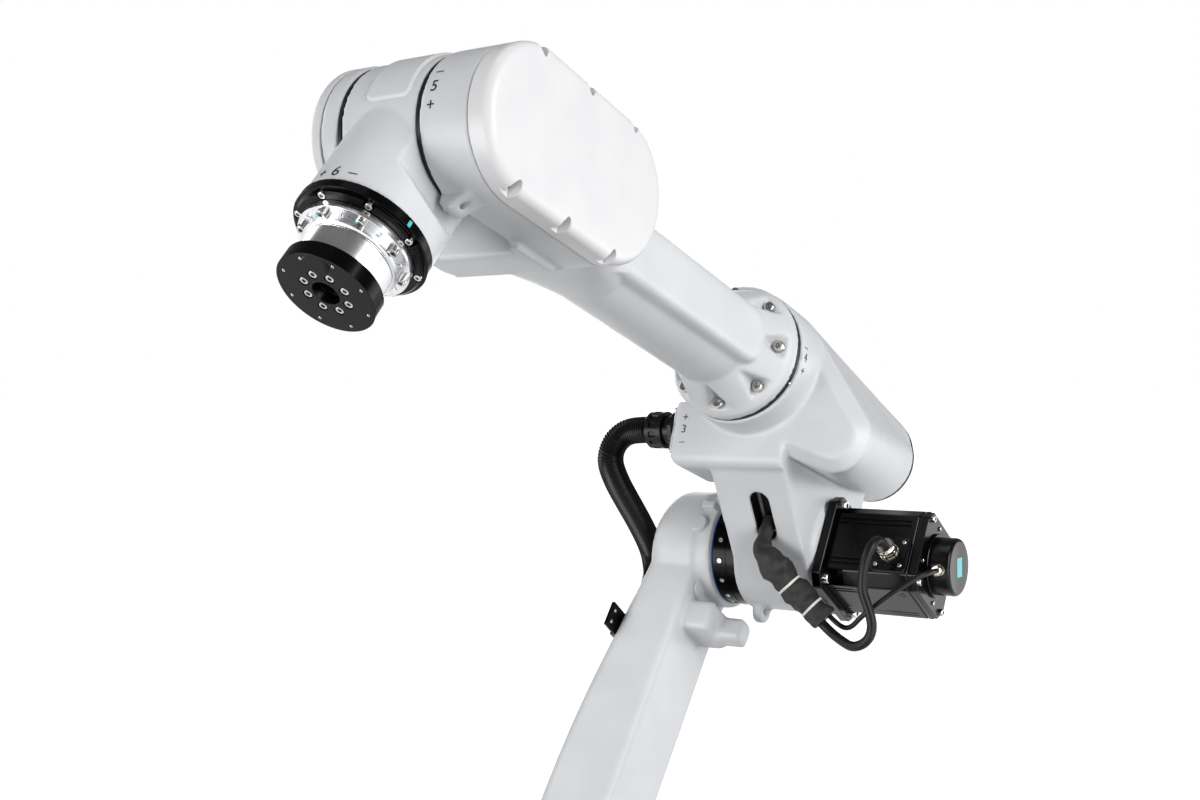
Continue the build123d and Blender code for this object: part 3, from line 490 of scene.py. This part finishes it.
# The third pair of screws sits further in, where the cover's round end has begun
cover_sides = np.repeat((63.0, -63.0), 3) * (1, 1, 0.985, 1, 1, 0.985)
cover_spots = np.stack((np.tile(notch_places, 2), cover_sides), axis=-1)
cover_screw_seat = seat(cover_seat, (0, 0, notch_floor), (0, 0, 1), (1, 0, 0))
add_screws("cover_screws", "forearm", cover_screw_seat, cover_spots, 3.2, 4.5)

# Access panel: a pad raised over the cross tube, with its border sunk in the casting
cross_tube_radius = 70.0
panel_half_length = 55.0
panel_half_width = 25.0
panel_corner = 8.0
panel_middle_deg = 113.0
panel_middle_across = 8.0
panel_border = 67.8
panel_rise = 3.5
panel_underside = 66.5
panel_turn = np.linspace(64, 162, 140)
panel_across = np.linspace(-20, 36, 90)
panel_u, panel_v = np.meshgrid(
    np.radians(panel_turn - panel_middle_deg) * cross_tube_radius, panel_across - panel_middle_across,
    indexing="ij",
)
panel_gap = np.stack((
    np.abs(panel_u) - (panel_half_length - panel_corner), np.abs(panel_v) - (panel_half_width - panel_corner)
), axis=-1)
corner_gap = np.linalg.norm(np.maximum(panel_gap, 0), axis=-1)
panel_inside = panel_corner - corner_gap - np.minimum(panel_gap.max(axis=-1), 0)
panel_step = np.clip((panel_inside + 1.5) / 4.0, 0, 1)
panel_top = panel_border + panel_rise * panel_step**2 * (3 - 2 * panel_step)
panel_reach = np.concatenate((panel_top, np.full_like(panel_top, panel_underside)), axis=1)
panel_side = np.broadcast_to(np.concatenate((panel_across, panel_across[::-1])), panel_reach.shape)
panel_angle = np.radians(panel_turn)[:, None]
panel_grid = np.stack(
    (panel_reach * np.cos(panel_angle), panel_side, panel_reach * np.sin(panel_angle)), axis=-1
)
panel_mesh = grid_mesh("access_panel_pad", to_row(wrist_link, panel_grid)[None])
show("access_panel_pad", panel_mesh, "wrist", "pearl_grey_paint", "wrist_access_panel")


# Reducers of the shoulder and the elbow
def reducer(node, link, across, up, radius, far, count, start_deg):
    """A black joint ring from the arm's face to far, with a blue seal line and screws round its side."""
    near = -92.0
    place = seat(link, (across, near, up), (0, 1, 0), (1, 0, 0))
    long = far - near
    profile = (
        (radius - 2, 0), (radius - 2, 2), (radius - 0.6, 2), (radius, 2.6), (radius, 0.62 * long),
        (radius - 0.7, 0.63 * long), (radius - 0.7, 0.66 * long), (radius, 0.67 * long), (radius, long - 0.6),
        (radius - 0.6, long),
    )
    add_wall(node + "_body", body_of[node], "black_anodised", place, circle(120), profile, node)
    seal = ((radius - 2, 0.4), (radius - 0.2, 0.6), (radius - 0.2, 1.4), (radius - 2, 1.6))
    add_wall(node + "_seal", body_of[node], "blue_seal", place, circle(120), seal)
    turns = np.radians(start_deg + np.arange(count) * 360 / count)
    heads = []
    for turn in turns:
        out = np.array((np.cos(turn), 0.0, np.sin(turn)))
        spot = out * radius + (across, near + 0.39 * long, up)
        heads.append(screws(seat(link, spot, out, (0, 1, 0)), ((0, 0),), 3.1, 1.8))
    head_mesh = grid_mesh(node + "_screws", np.concatenate(heads))
    show(node + "_screws", head_mesh, body_of[node], "steel_screws")


reducer("axis2_ring", floor_link, 160.0, 500.0, 98.0, -58.0, 24, 0.0)
reducer("axis3_ring", arm_link, 0.0, 790.0, 69.0, -58.3, 16, -19.0)


# Servo motors
def motor(axis, place, upright):
    """One servo motor on its seat: flange, grooved body with cut corners, end plate, cover and screws."""
    body = body_of[axis + "_motor_body"]
    corner_cut_size = 15.0
    flange_side, flange_bend, flange_top = 130.0, 8.0, 12.0
    flange = (
        (0, 0), (flange_bend - 0.8, 0), (flange_bend, 0.8), (flange_bend, flange_top - 0.8),
        (flange_bend - 0.8, flange_top), (0, flange_top),
    )
    flange_outline = rounded(cut_square(flange_side, corner_cut_size, flange_bend))
    add_wall(axis + "_flange", body, "motor_black", place, flange_outline, flange, axis + "_motor_flange")
    side, bend, body_top = 110.0, 5.0, 120.0
    outline = rounded(cut_square(side, corner_cut_size, bend), 6, 60)
    spine, normal = outline
    turn = np.arctan2(normal[:, 1], normal[:, 0])
    flat_side = np.abs(np.sin(2 * turn)) < 0.01
    along = np.abs(spine[:, 1] * normal[:, 0] - spine[:, 0] * normal[:, 1])
    groove = np.where(flat_side & (np.abs(np.abs(along - 28.0) - 3.2) < 1.3), 1.8, 0.0)
    corner = 12.0 * np.sqrt(np.clip(-np.cos(4 * turn), 0, 1))
    rows = np.array((
        (bend - 0.8, flange_top), (bend, flange_top + 0.8), (bend, 17.5), (bend, 18.0), (bend, 36.0),
        (bend, 36.5), (bend, 112.5), (bend, 113.0), (bend, body_top - 0.8), (bend - 0.8, body_top),
    ))
    height = rows[:, 1:]
    groove_cut = np.where((height > 17.8) & (height < 112.8), groove, 0.0)
    corner_cut = np.where(height < 36.2, corner, 0.0)
    add_wall(
        axis + "_body", body, "motor_black", place, outline, rows, axis + "_motor_body",
        limit=bend - np.maximum(groove_cut, corner_cut),
    )
    plate_top = 132.0
    plate = (
        (3.4, body_top), (3.4, 121.4), (bend, 122), (bend, 127), (4, 127.6), (4, 131.4), (3.2, plate_top)
    )
    plate_outline = rounded(cut_square(side, corner_cut_size, bend))
    add_wall(
        axis + "_end_plate", body, "motor_black", place, plate_outline, plate, axis + "_motor_end_plate"
    )
    collar = ((40, 131.5), (40, 135.4), (39.4, 136))
    add_wall(axis + "_collar", body, "motor_black", place, circle(64), collar)
    cover_radius, cover_top, dome_bend = 36.0, 162.0, 5.0
    dome_turn = np.linspace(0, np.pi / 2, 7)
    dome_reach = cover_radius - dome_bend + dome_bend * np.cos(dome_turn)
    dome_height = cover_top - dome_bend + dome_bend * np.sin(dome_turn)
    cover = np.concatenate((((cover_radius, 135.5),), np.stack((dome_reach, dome_height), axis=-1)))
    add_wall(
        axis + "_cover", body, "motor_black", place, circle(64), cover, axis + "_motor_encoder_cover"
    )
    sticker_seat = seat(place, (0, 0, cover_top), (0, 0, 1), place[:3, :3].T @ upright)
    label(axis + "_sticker", body, "teal_film", sticker_seat, 24, 17, 1.5, 0.3)
    square = np.array(((1, 1), (-1, 1), (-1, -1), (1, -1)))
    flange_seat = seat(place, (0, 0, flange_top), (0, 0, 1), (1, 0, 0))
    end_seat = seat(place, (0, 0, plate_top), (0, 0, 1), (1, 0, 0))
    heads = np.concatenate((
        screws(flange_seat, square * 51.26, 6.5, 8.0), screws(end_seat, square * 43.12, 4.5, 4.5),
        screws(end_seat, ring_spots(46.5, 4, 18), 2.6, 2.2),
    ))
    show(axis + "_screws", grid_mesh(axis + "_screws", heads), body, "steel_screws")


motor("axis1", seat(floor_link, (-105, 0, 262.3), (0, 0, 1), (1, 0, 0)), (1.0, 0.0, 0.0))
motor("axis2", seat(floor_link, (160, 58, 500), (0, 1, 0), (1, 0, 0)), (0.0, 0.0, 1.0))
roll = np.radians(15.0)
axis3_motor = seat(elbow_link, (0, 58, 0), (0, 1, 0), (np.cos(roll), 0, np.sin(roll)))
motor("axis3", axis3_motor, (0.0, 0.0, 1.0))
hub_seat = seat(elbow_link, (0, 58, 0), (0, 1, 0), (1, 0, 0))
hub_seal = ((57, -0.5), (60.5, -0.5), (60.5, 1.0), (60, 1.5), (57, 1.5))
add_wall("hub_seal", "elbow", "blue_seal", hub_seat, circle(96), hub_seal)

# Plugs on the elbow motor
power_seat = seat(axis3_motor, (55, 17, 96.78), (1, 0, 0), (0, 1, 0))
plate_profile = ((6, -0.5), (6, 6.6), (5.4, 7.6), (4.4, 8))
add_wall("power_plate", "elbow", "motor_black", power_seat, rounded(rectangle(46, 46, 6)), plate_profile)
power_screw_seat = seat(power_seat, (0, 0, 8), (0, 0, 1), (1, 0, 0))
add_screws("power_screws", "elbow", power_screw_seat, rectangle(31, 31, 0), 2.6, 1.6)
six_sided = 1 / np.cos(np.mod(np.linspace(0, 2 * np.pi, 48, endpoint=False), np.pi / 3) - np.pi / 6)
power_rows = np.array((
    (11, 7.5), (12, 8), (12, 11), (10.4, 11.4), (10.4, 13), (12, 13.4), (12, 19), (10.2, 19.6), (10.2, 21),
    (11.6, 21.4), (11.6, 26), (10.6, 27), (9.4, 29.6), (7, 30),
))
power_nut = (power_rows[:, 1:] > 13.2) & (power_rows[:, 1:] < 19.3)
add_wall(
    "power_plug", "elbow", "nickel_plugs", power_seat, circle(48), power_rows, "power_connector",
    limit=np.where(power_nut, 10.4 * six_sided, np.inf),
)
encoder_roll = roll - np.radians(32.0)
encoder_out = np.array((np.cos(encoder_roll), 0.0, np.sin(encoder_roll)))
encoder_root = np.array((0.0, 58 + 136 + 26 * 0.55, 0.0))
encoder_seat = seat(elbow_link, encoder_root + encoder_out * 36, encoder_out, (0, 1, 0))
encoder_rows = np.array((
    (6, -0.6), (7, 0), (7, 3.2), (5.8, 3.5), (5.8, 4.8), (7, 5.1), (7, 9.6), (6, 10), (6, 11), (6.6, 11.3),
    (6.6, 13.6), (5, 15),
))
encoder_nut = (encoder_rows[:, 1:] > 5) & (encoder_rows[:, 1:] < 9.8)
add_wall(
    "encoder_plug", "elbow", "nickel_plugs", encoder_seat, circle(48), encoder_rows, "encoder_connector",
    limit=np.where(encoder_nut, 6.06 * six_sided, np.inf),
)


# Hose glands
def hose_fitting(name, node, place):
    """A conduit gland on its seat: a six-sided lock nut, a neck, and a nut with a row of windows."""
    sides = 120
    turn = np.linspace(0, 2 * np.pi, sides, endpoint=False)
    flats = 20.4 / np.cos(np.mod(turn, np.pi / 3) - np.pi / 6)
    windows = np.where(np.cos(12 * turn) > 0.1, 22.2, np.inf)
    rows = np.array((
        (22, 0), (23.6, 0.6), (23.6, 5.4), (22, 6), (19, 6.1), (19, 15.9), (22.8, 16), (24, 17.2), (24, 22.8),
        (24, 23.2), (24, 32.8), (24, 33.2), (24, 38.8), (22.8, 40), (17.9, 40),
    ))
    height = rows[:, 1:]
    limit = np.where(height < 6.05, flats, np.where((height > 23) & (height < 33), windows, np.inf))
    add_wall(name, body_of[node], "black_conduit", place, circle(sides), rows, node, limit=limit)


hose_fitting("elbow_hose_fitting", "hose_gland", seat(elbow_link, (166, -109, 123), (0, -1, 0), (1, 0, 0)))
hose_fitting("arm_hose_fitting", "lower_hose_gland", seat(arm_link, (-38, -224, 657), (0, 0, 1), (1, 0, 0)))

# Screws of the forearm flange
flange_seat = seat(forearm_link, (0, 0, 0), (1, 0, 0), (0, 1, 0))
add_screws(
    "flange_heads", "forearm", flange_seat, ring_spots(70, 8), 6.5, 8.0, "forearm_flange_screws",
    socket=0.52,
)

# Tool end: the axis 6 ring with its recessed screws, the adapter's spigot, and the flange's screws and dabs
ring_seat = seat(wrist_link, (125, 0, 0), (1, 0, 0), (0, 1, 0))
ring_radius = 62.5
ring_screw_circle = 56.0
pocket_radius = 4.2
ring_rows = np.array((
    (60.5, 0), (61.9, 0.1), (ring_radius, 0.7), (ring_radius, 8.8), (62, 9.3), (59.7, 9.5), (59.3, 10),
    (59.3, 12.2), (57.5, 14), (52.5, 14),
))
ring_outline = circle(360)
ring_turn = np.arange(360) * 1.0
off_screw = np.abs(np.mod(ring_turn + 22.5, 45) - 22.5) * np.radians(ring_screw_circle)
pocket_floor = ring_screw_circle - np.sqrt(np.clip(pocket_radius**2 - off_screw**2, 0, None))
ring_notch = np.where(off_screw < pocket_radius, pocket_floor, np.inf)
add_wall(
    "axis6_ring_body", "wrist", "black_anodised", ring_seat, ring_outline, ring_rows, "axis6_ring",
    limit=np.where(ring_rows[:, 1:] > 9.4, ring_notch, np.inf),
)
ring_screw_seat = seat(wrist_link, (134.6, 0, 0), (1, 0, 0), (0, 1, 0))
add_screws("axis6_ring_heads", "wrist", ring_screw_seat, ring_spots(ring_screw_circle, 8), 3.5, 4.2)
zero_turn = np.radians(11.5)
zero_out = np.array((0.0, np.cos(zero_turn), np.sin(zero_turn)))
zero_seat = seat(wrist_link, zero_out * ring_radius + (130.6, 0, 0), zero_out, (1, 0, 0))
label("zero_mark", "wrist", "teal_film", zero_seat, 6.0, 3.4, 0.6, 0.2)
adapter_seat = seat(wrist_link, (146.3, 0, 0), (1, 0, 0), (0, 1, 0))
spigot = ((39, -0.5), (44, -0.5), (44, 7.4), (43, 8.4), (41.6, 9), (41.4, 9.4), (39, 9.6))
add_wall("adapter_spigot", "tool", "bright_aluminium", adapter_seat, circle(120), spigot)
add_screws("adapter_heads", "tool", adapter_seat, ring_spots(46.5, 8), 4.25, 5.0, "tool_adapter_screws")
dab_seat = seat(wrist_link, (151.2, 0, 0), (1, 0, 0), (0, 1, 0))
for number, dab_at in enumerate(ring_spots(47.6, 8, np.degrees(0.06))):
    dab_at = (*dab_at, 0)
    dab_place = seat(dab_seat, dab_at, (0, 0, 1), dab_at)
    label(f"dab_{number}", "tool", "teal_film", dab_place, 1.8, 2.6, 0.7, 0.25)
plate_seat = seat(wrist_link, (187.0, 0, 0), (1, 0, 0), (0, 1, 0))
add_screws("plate_heads", "tool", plate_seat, ring_spots(20.5, 8), 4.2, 6.2, "tool_plate_screws")
# Bright steel dots on the rim's tapped holes: a painted highlight for the glint on the holes' chamfers
rim_seat = seat(wrist_link, (192.6, 0, 0), (1, 0, 0), (0, 1, 0))
add_screws("rim_glint_dots", "tool", rim_seat, ring_spots(38.8, 8), 1.6, 1.2, sides=12)

# Small parts on the castings
front_pad_seat = seat(arm_link, (60, -112, 783), (1, 0, 0), (0, 1, 0))
front_pad = ((12, 0), (12, 20.6), (10.8, 21.8), (9, 22))
side_pad_seat = seat(arm_link, (27, -116, 714), (0, 1, 0), (1, 0, 0))
side_pad = ((13, 0), (13, 6.6), (11.8, 7.8), (9, 8))
arm_pads = np.concatenate((
    walled(front_pad_seat, circle(48), front_pad), walled(side_pad_seat, circle(48), side_pad),
))
show("arm_pads", grid_mesh("arm_pads", arm_pads), "lower_arm", "pearl_grey_paint")
shelf_seat = seat(arm_link, (60, -104, 811), (1, 0, 0), (0, 1, 0))
shelf_outline = rounded(rectangle(20, 11, 3))
shelf_profile = ((3, 0), (3, 23), (2.2, 24.4), (1, 25))
add_wall("arm_shelf", "lower_arm", "pearl_grey_paint", shelf_seat, shelf_outline, shelf_profile)
bracket_seat = seat(arm_link, (68, -195, 640), (0, 1, 0), (1, 0, 0))
add_screws("bracket_screw", "lower_arm", bracket_seat, ((0, -7), (0, 9)), 2.6, 1.6)
box_screw_seat = seat(elbow_link, (187, 0.4, 119.6), (1, 0, 0), (0, 1, 0))
add_screws("box_screw", "elbow", box_screw_seat, ((0, 0),), 5, 2.4)
gland_screw_seat = seat(elbow_link, (141, -109, 120), (0, -1, 0), (1, 0, 0))
add_screws("gland_screws", "elbow", gland_screw_seat, rectangle(74, 54, 0), 3.2, 2.4)
barrel_up = 200.0
pin_turn = np.arctan2(162.3 - barrel_up, 77.3)
pin_out = np.array((0.0, np.cos(pin_turn), np.sin(pin_turn)))
pin_seat = seat(elbow_link, pin_out * 81 + (236.5, 0, barrel_up), pin_out, (1, 0, 0))
add_wall("seal_pin", "elbow", "steel_screws", pin_seat, circle(24), ((2.2, 0), (2.2, 4.4), (1.6, 5)))
wrist_along = 573.0
lug_turn = np.radians(-80.0)
stop_at = np.array((wrist_along + 77 * np.cos(lug_turn), 50.0, 77 * np.sin(lug_turn)))
stop_seat = seat(forearm_link, stop_at, (0, -1, 0), (1, 0, 0))
stop_turn = np.linspace(0, np.pi / 2.2, 7)
stop_tip = np.stack((3.4 * np.cos(stop_turn), 2.2 + 2.4 * np.sin(stop_turn)), axis=-1)
stop_profile = np.concatenate((((3.4, 0),), stop_tip))
add_wall("stop_screw", "forearm", "pale_nylon", stop_seat, circle(24), stop_profile)

# Cable slot: a dark cup in the slot of the elbow's leg, painted shade that stands in for the dark inside of
# the slot
leg_radius, block_front, slope_top = 72.0, 187.0, 87.0
leg_turn = np.arctan2(slope_top, block_front) - np.arccos(leg_radius / np.hypot(block_front, slope_top))
leg_out = np.array((np.cos(leg_turn), 0.0, np.sin(leg_turn)))
slot_at = 0.46 * leg_radius * leg_out + 0.54 * np.array((block_front, 0.0, slope_top)) + (0, 6, 0)
slot_seat = seat(elbow_link, slot_at, leg_out, (0, 1, 0))
slot_profile = ((13.4, -26), (13.4, -3.4), (12.4, -3.4), (12.4, -25))
add_wall("slot_shade_cup", "elbow", "black_rubber", slot_seat, rounded(((0, -22), (0, 22)), 16), slot_profile)


# Axis numbers with their signs
def sign(name, text, link, body, at, right, up, size):
    """One printed sign: the built-in letter's outline as a thin solid, turned to face out of its surface."""
    letter = bpy.data.curves.new(name, "FONT")
    letter.body = text
    letter.align_x = "CENTER"
    letter.align_y = "CENTER"
    letter.size = size * MM
    letter.extrude = 0.2 * MM
    holder = bpy.data.objects.new(name, letter)
    bpy.context.scene.collection.objects.link(holder)
    mesh = bpy.data.meshes.new_from_object(holder.evaluated_get(bpy.context.evaluated_depsgraph_get()))
    bpy.data.objects.remove(holder)
    mesh.transform(Matrix(seat(link, at, np.cross(right, up), right).tolist()))
    show(name, mesh, body, "printed_ink")


across = np.array((0.0, 1.0, 0.0))
upward = np.array((0.0, 0.0, 1.0))
backward = np.array((-1.0, 0.0, 0.0))
for text, up in (("+", 134.3), ("3", 119.0), ("\u2013", 102.4)):
    sign(f"axis3_sign_{up:.0f}", text, elbow_link, "elbow", (187, -89.4, up), across, upward, 15)
for text, turn_deg in (("\u2013", 8.0), ("4", -0.7), ("+", -12.0)):
    turn = np.radians(turn_deg)
    out = np.array((0.0, np.cos(turn), np.sin(turn)))
    spot = out * 86 + (224, 0, barrel_up)
    name = f"axis4_sign_{turn_deg:.0f}"
    sign(name, text, elbow_link, "elbow", spot, backward, np.cross(out, backward), 15)
for text, up in (("\u2013", 23.6), ("5", 7.8), ("+", -9.6)):
    turn = np.arcsin(up / 70)
    out = np.array((np.cos(turn), 0.0, np.sin(turn)))
    spot = out * 70 + (wrist_along, 59.5, 0)
    name = f"axis5_sign_{up:.0f}"
    sign(name, text, forearm_link, "forearm", spot, across, np.cross(out, across), 15)
for text, turn_deg in (("+", 101.0), ("6", 86.0), ("\u2013", 70.0)):
    turn = np.radians(turn_deg)
    out = np.array((0.0, np.cos(turn), np.sin(turn)))
    spot = out * 61 + (114.5, 0, 0)
    name = f"axis6_sign_{turn_deg:.0f}"
    sign(name, text, wrist_link, "wrist", spot, np.cross(backward, out), backward, 16)


# Cables from the elbow motor into the sleeve
def lead(name, node, route, diameter):
    """One cable on the elbow: a round cord along its route, as long as the route's spline."""
    cable = spline(name, route, diameter)
    cable.data.materials.append(finishes["black_rubber"])
    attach(cable, "elbow")
    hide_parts(node)
    length = line_length(line_points(name, route, 1.0))


mouth = np.array((74.0, 84.0, -90.0))
mouth_out = mouth - (82.0, 66.0, -74.0)
mouth_out /= np.linalg.norm(mouth_out)
mouth_side = np.cross(mouth_out, (0.0, 0.0, 1.0))
mouth_down = np.cross(mouth_out, mouth_side / np.linalg.norm(mouth_side))
plug_out = np.array((np.cos(roll), 0.0, np.sin(roll)))
power_start = np.array((86.504, 154.78, 5.579))
power_end = mouth + mouth_down * 5.0
power_route = np.vstack((
    power_start, power_start + plug_out * 8, (108, 153.5, 7), (117, 150.5, -5), (116, 145, -26),
    (107, 142, -55), (101, 151, -75), (97, 157, -93), (94, 155, -107), (90, 145, -117), (84, 129, -121),
    (78, 112, -114), power_end + mouth_out * 15, power_end,
))
lead("power_lead", "power_cable", to_row(elbow_link, power_route), 12.0)
encoder_start = encoder_root + encoder_out * 51
encoder_end = mouth - mouth_down * 8.0
encoder_route = np.vstack((
    encoder_start, encoder_start + encoder_out * 14, (76, 202, -26), (84, 186, -40), (87, 168, -56),
    (87, 151, -71), (84, 136, -83), (76, 120, -98), encoder_end + mouth_out * 18, encoder_end,
))
lead("encoder_lead", "encoder_cable", to_row(elbow_link, encoder_route), 6.4)

# Dress hose from the elbow box to the lower arm
hose_route = np.vstack((
    to_row(elbow_link, (
        (166, -149, 123), (166, -169, 123), (166, -190, 119.5), (164, -207, 106), (155, -217, 84),
        (127, -220, 64), (93, -221, 46), (55, -221, 26), (18, -222, 5), (-6, -223, -14), (-18, -224, -40),
    )),
    to_row(arm_link, ((-38, -224, 723), (-38, -224, 697))),
))
rib_pitch = 3.4
hose_line = line_points("hose", hose_route, rib_pitch / 6)
travel = np.arange(len(hose_line)) * line_length(hose_line) / (len(hose_line) - 1) / MM
ribs = 16.8 + 0.7 * np.cos(2 * np.pi * travel / rib_pitch)
hose_mesh = grid_mesh("ribbed_hose", tube(hose_line, ribs, 40, (0.2, 0.1, 1.0)))
hose = show("ribbed_hose", hose_mesh, None, "black_conduit")
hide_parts("dress_hose")
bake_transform(hose)

# Cable sleeve: a soft tube with creases, drawn in by two ties
sleeve_route = to_row(elbow_link, (
    (103, 6, 27), (109, 6, 8), (115.8, 6, -14.5), (112, 17, -26), (103, 32, -43), (93, 48, -59),
    (82, 66, -74), tuple(mouth),
))
sleeve_line = line_points("sleeve", sleeve_route, 0.8)
share = np.linspace(0, 1, len(sleeve_line))
sleeve_places = (0, 0.18, 0.34, 0.46, 0.56, 0.62, 0.68, 0.8, 0.86, 0.9, 0.97, 1)
sleeve_radii = (8.4, 9.2, 15.0, 19.6, 17.6, 15.8, 18.4, 17.4, 15.2, 15.8, 17.4, 16.4)
sleeve_size = np.interp(share, sleeve_places, sleeve_radii)
sides = 72
turn = np.linspace(0, 2 * np.pi, sides, endpoint=False)
crease = (
    np.sin(3 * turn[None] + 26 * share[:, None]) + 0.7 * np.sin(5 * turn[None] - 41 * share[:, None] + 1.3)
    + 0.5 * np.sin(2 * turn[None] + 63 * share[:, None] + 0.4)
)
loose = np.interp(share, (0, 0.3, 0.45, 0.62, 0.7, 0.86, 0.95, 1), (0.1, 0.7, 1.5, 0.5, 1.5, 0.4, 1.1, 0.7))
sleeve_reach = sleeve_size[:, None] + loose[:, None] * crease
sleeve = grid_mesh("fabric_sleeve", tube(sleeve_line, sleeve_reach, sides, (0.0, 0.3, 1.0)))
show("fabric_sleeve", sleeve, "elbow", "black_fabric", "cable_sleeve")
# Two ties round the sleeve; their pale full bands are partly painted highlight, standing in for the glint
# across the ties
for name, at in (("tie_upper", 0.62), ("tie_lower", 0.86)):
    middle = int(at * len(sleeve_line))
    band = slice(middle - 2, middle + 3)
    band_reach = sleeve_reach[band].mean(axis=0)[None] + np.array((0.2, 1.0, 1.2, 1.0, 0.2))[:, None]
    tie = grid_mesh(name, tube(sleeve_line[band], band_reach, sides, (0.0, 0.3, 1.0)))
    show(name, tie, "elbow", "pale_nylon")

# Camera, at the photo's viewing angle for an image of 1200 by 800
camera_at = (1.3666, 0.8276, 1.3361)
camera_yaw = np.radians(56.0)
camera_pitch = np.radians(-0.23)
focal_px = 1415.5
image_width_px = 1200
ahead = Vector((
    -np.sin(camera_yaw) * np.cos(camera_pitch),
    -np.cos(camera_yaw) * np.cos(camera_pitch),
    np.sin(camera_pitch),
))
camera = bpy.data.objects.new("camera", bpy.data.cameras.new("camera"))
camera.data.sensor_width = 36.0
camera.data.lens = focal_px / image_width_px * camera.data.sensor_width
camera.data.clip_start = 0.02
camera.matrix_world = Matrix.Translation(camera_at) @ ahead.to_track_quat("-Z", "Y").to_matrix().to_4x4()
bpy.context.scene.collection.objects.link(camera)
bpy.context.scene.camera = camera

# Floor, world and lights
floor_round = np.linspace(0, 2 * np.pi, 96, endpoint=False)
floor_turn, floor_reach = np.meshgrid(floor_round, (0.05, 3.0, 30.0, 400.0))
floor_grid = np.stack(
    (floor_reach * np.cos(floor_turn), floor_reach * np.sin(floor_turn), 0 * floor_turn), axis=-1
)
floor = bpy.data.objects.new("floor", grid_mesh("floor", floor_grid[None, ::-1], caps=False))
bpy.context.scene.collection.objects.link(floor)
# Studio floor: pale and matt near the machine, with a painted glow that rises to white further out to meet
# the white behind it
sweep = finish(
    "pale_studio_floor", tones=("#F2F2F2", "#F5F5F5"), patch=400, rough=(0.6, 0.7), grain=4.0, depth=0.05,
    Emission_Color=(1, 1, 1, 1),
)
tree = sweep.node_tree
spot = add_node(tree, "ShaderNodeTexCoord").outputs["Object"]
reach = add_node(tree, "ShaderNodeVectorMath", {0: spot}, operation="LENGTH").outputs["Value"]
fade = {"Value": reach, "From Min": 0.8, "From Max": 3.2, "To Min": 0.18, "To Max": 1.0}
glow = add_node(tree, "ShaderNodeMapRange", fade).outputs["Result"]
tree.links.new(glow, tree.nodes["Principled BSDF"].inputs["Emission Strength"])
floor.data.materials.append(sweep)
floor.visible_diffuse = False

world = bpy.data.worlds.new("studio")
bpy.context.scene.world = world
world.use_nodes = True
sky = world.node_tree
# White where the camera looks past the machine, and a dim even fill for what lights it
seen = add_node(sky, "ShaderNodeLightPath").outputs["Is Camera Ray"]
level = add_node(sky, "ShaderNodeMapRange", {"Value": seen, "To Min": 0.2, "To Max": 1.0}).outputs["Result"]
sky.nodes["Background"].inputs["Color"].default_value = (1.0, 1.0, 1.0, 1.0)
sky.links.new(level, sky.nodes["Background"].inputs["Strength"])
bpy.context.scene.view_settings.view_transform = "Standard"


def softbox(name, place, power):
    """A square soft light at a place, facing the machine's middle and out of the camera's sight."""
    lamp = bpy.data.lights.new(name, "AREA")
    lamp.size = 1.6
    lamp.energy = power
    box = bpy.data.objects.new(name, lamp)
    aim = Vector((0.0, 0.0, 1.3)) - Vector(place)
    box.matrix_world = Matrix.Translation(place) @ aim.to_track_quat("-Z", "Y").to_matrix().to_4x4()
    box.visible_camera = False
    bpy.context.scene.collection.objects.link(box)


softbox("key_softbox", (0.49, 2.78, 2.33), 68)
softbox("near_softbox", (1.25, 2.68, 0.85), 32)
softbox("back_softbox", (-2.25, 1.89, 0.85), 18)
softbox("front_softbox", (2.68, -1.25, 0.85), 56)
softbox("side_softbox", (0.96, -2.65, 2.33), 22)
softbox("top_softbox", (0.26, 0.0, 4.29), 14)
softbox("rear_softbox", (-2.3, -1.8, 1.9), 26)
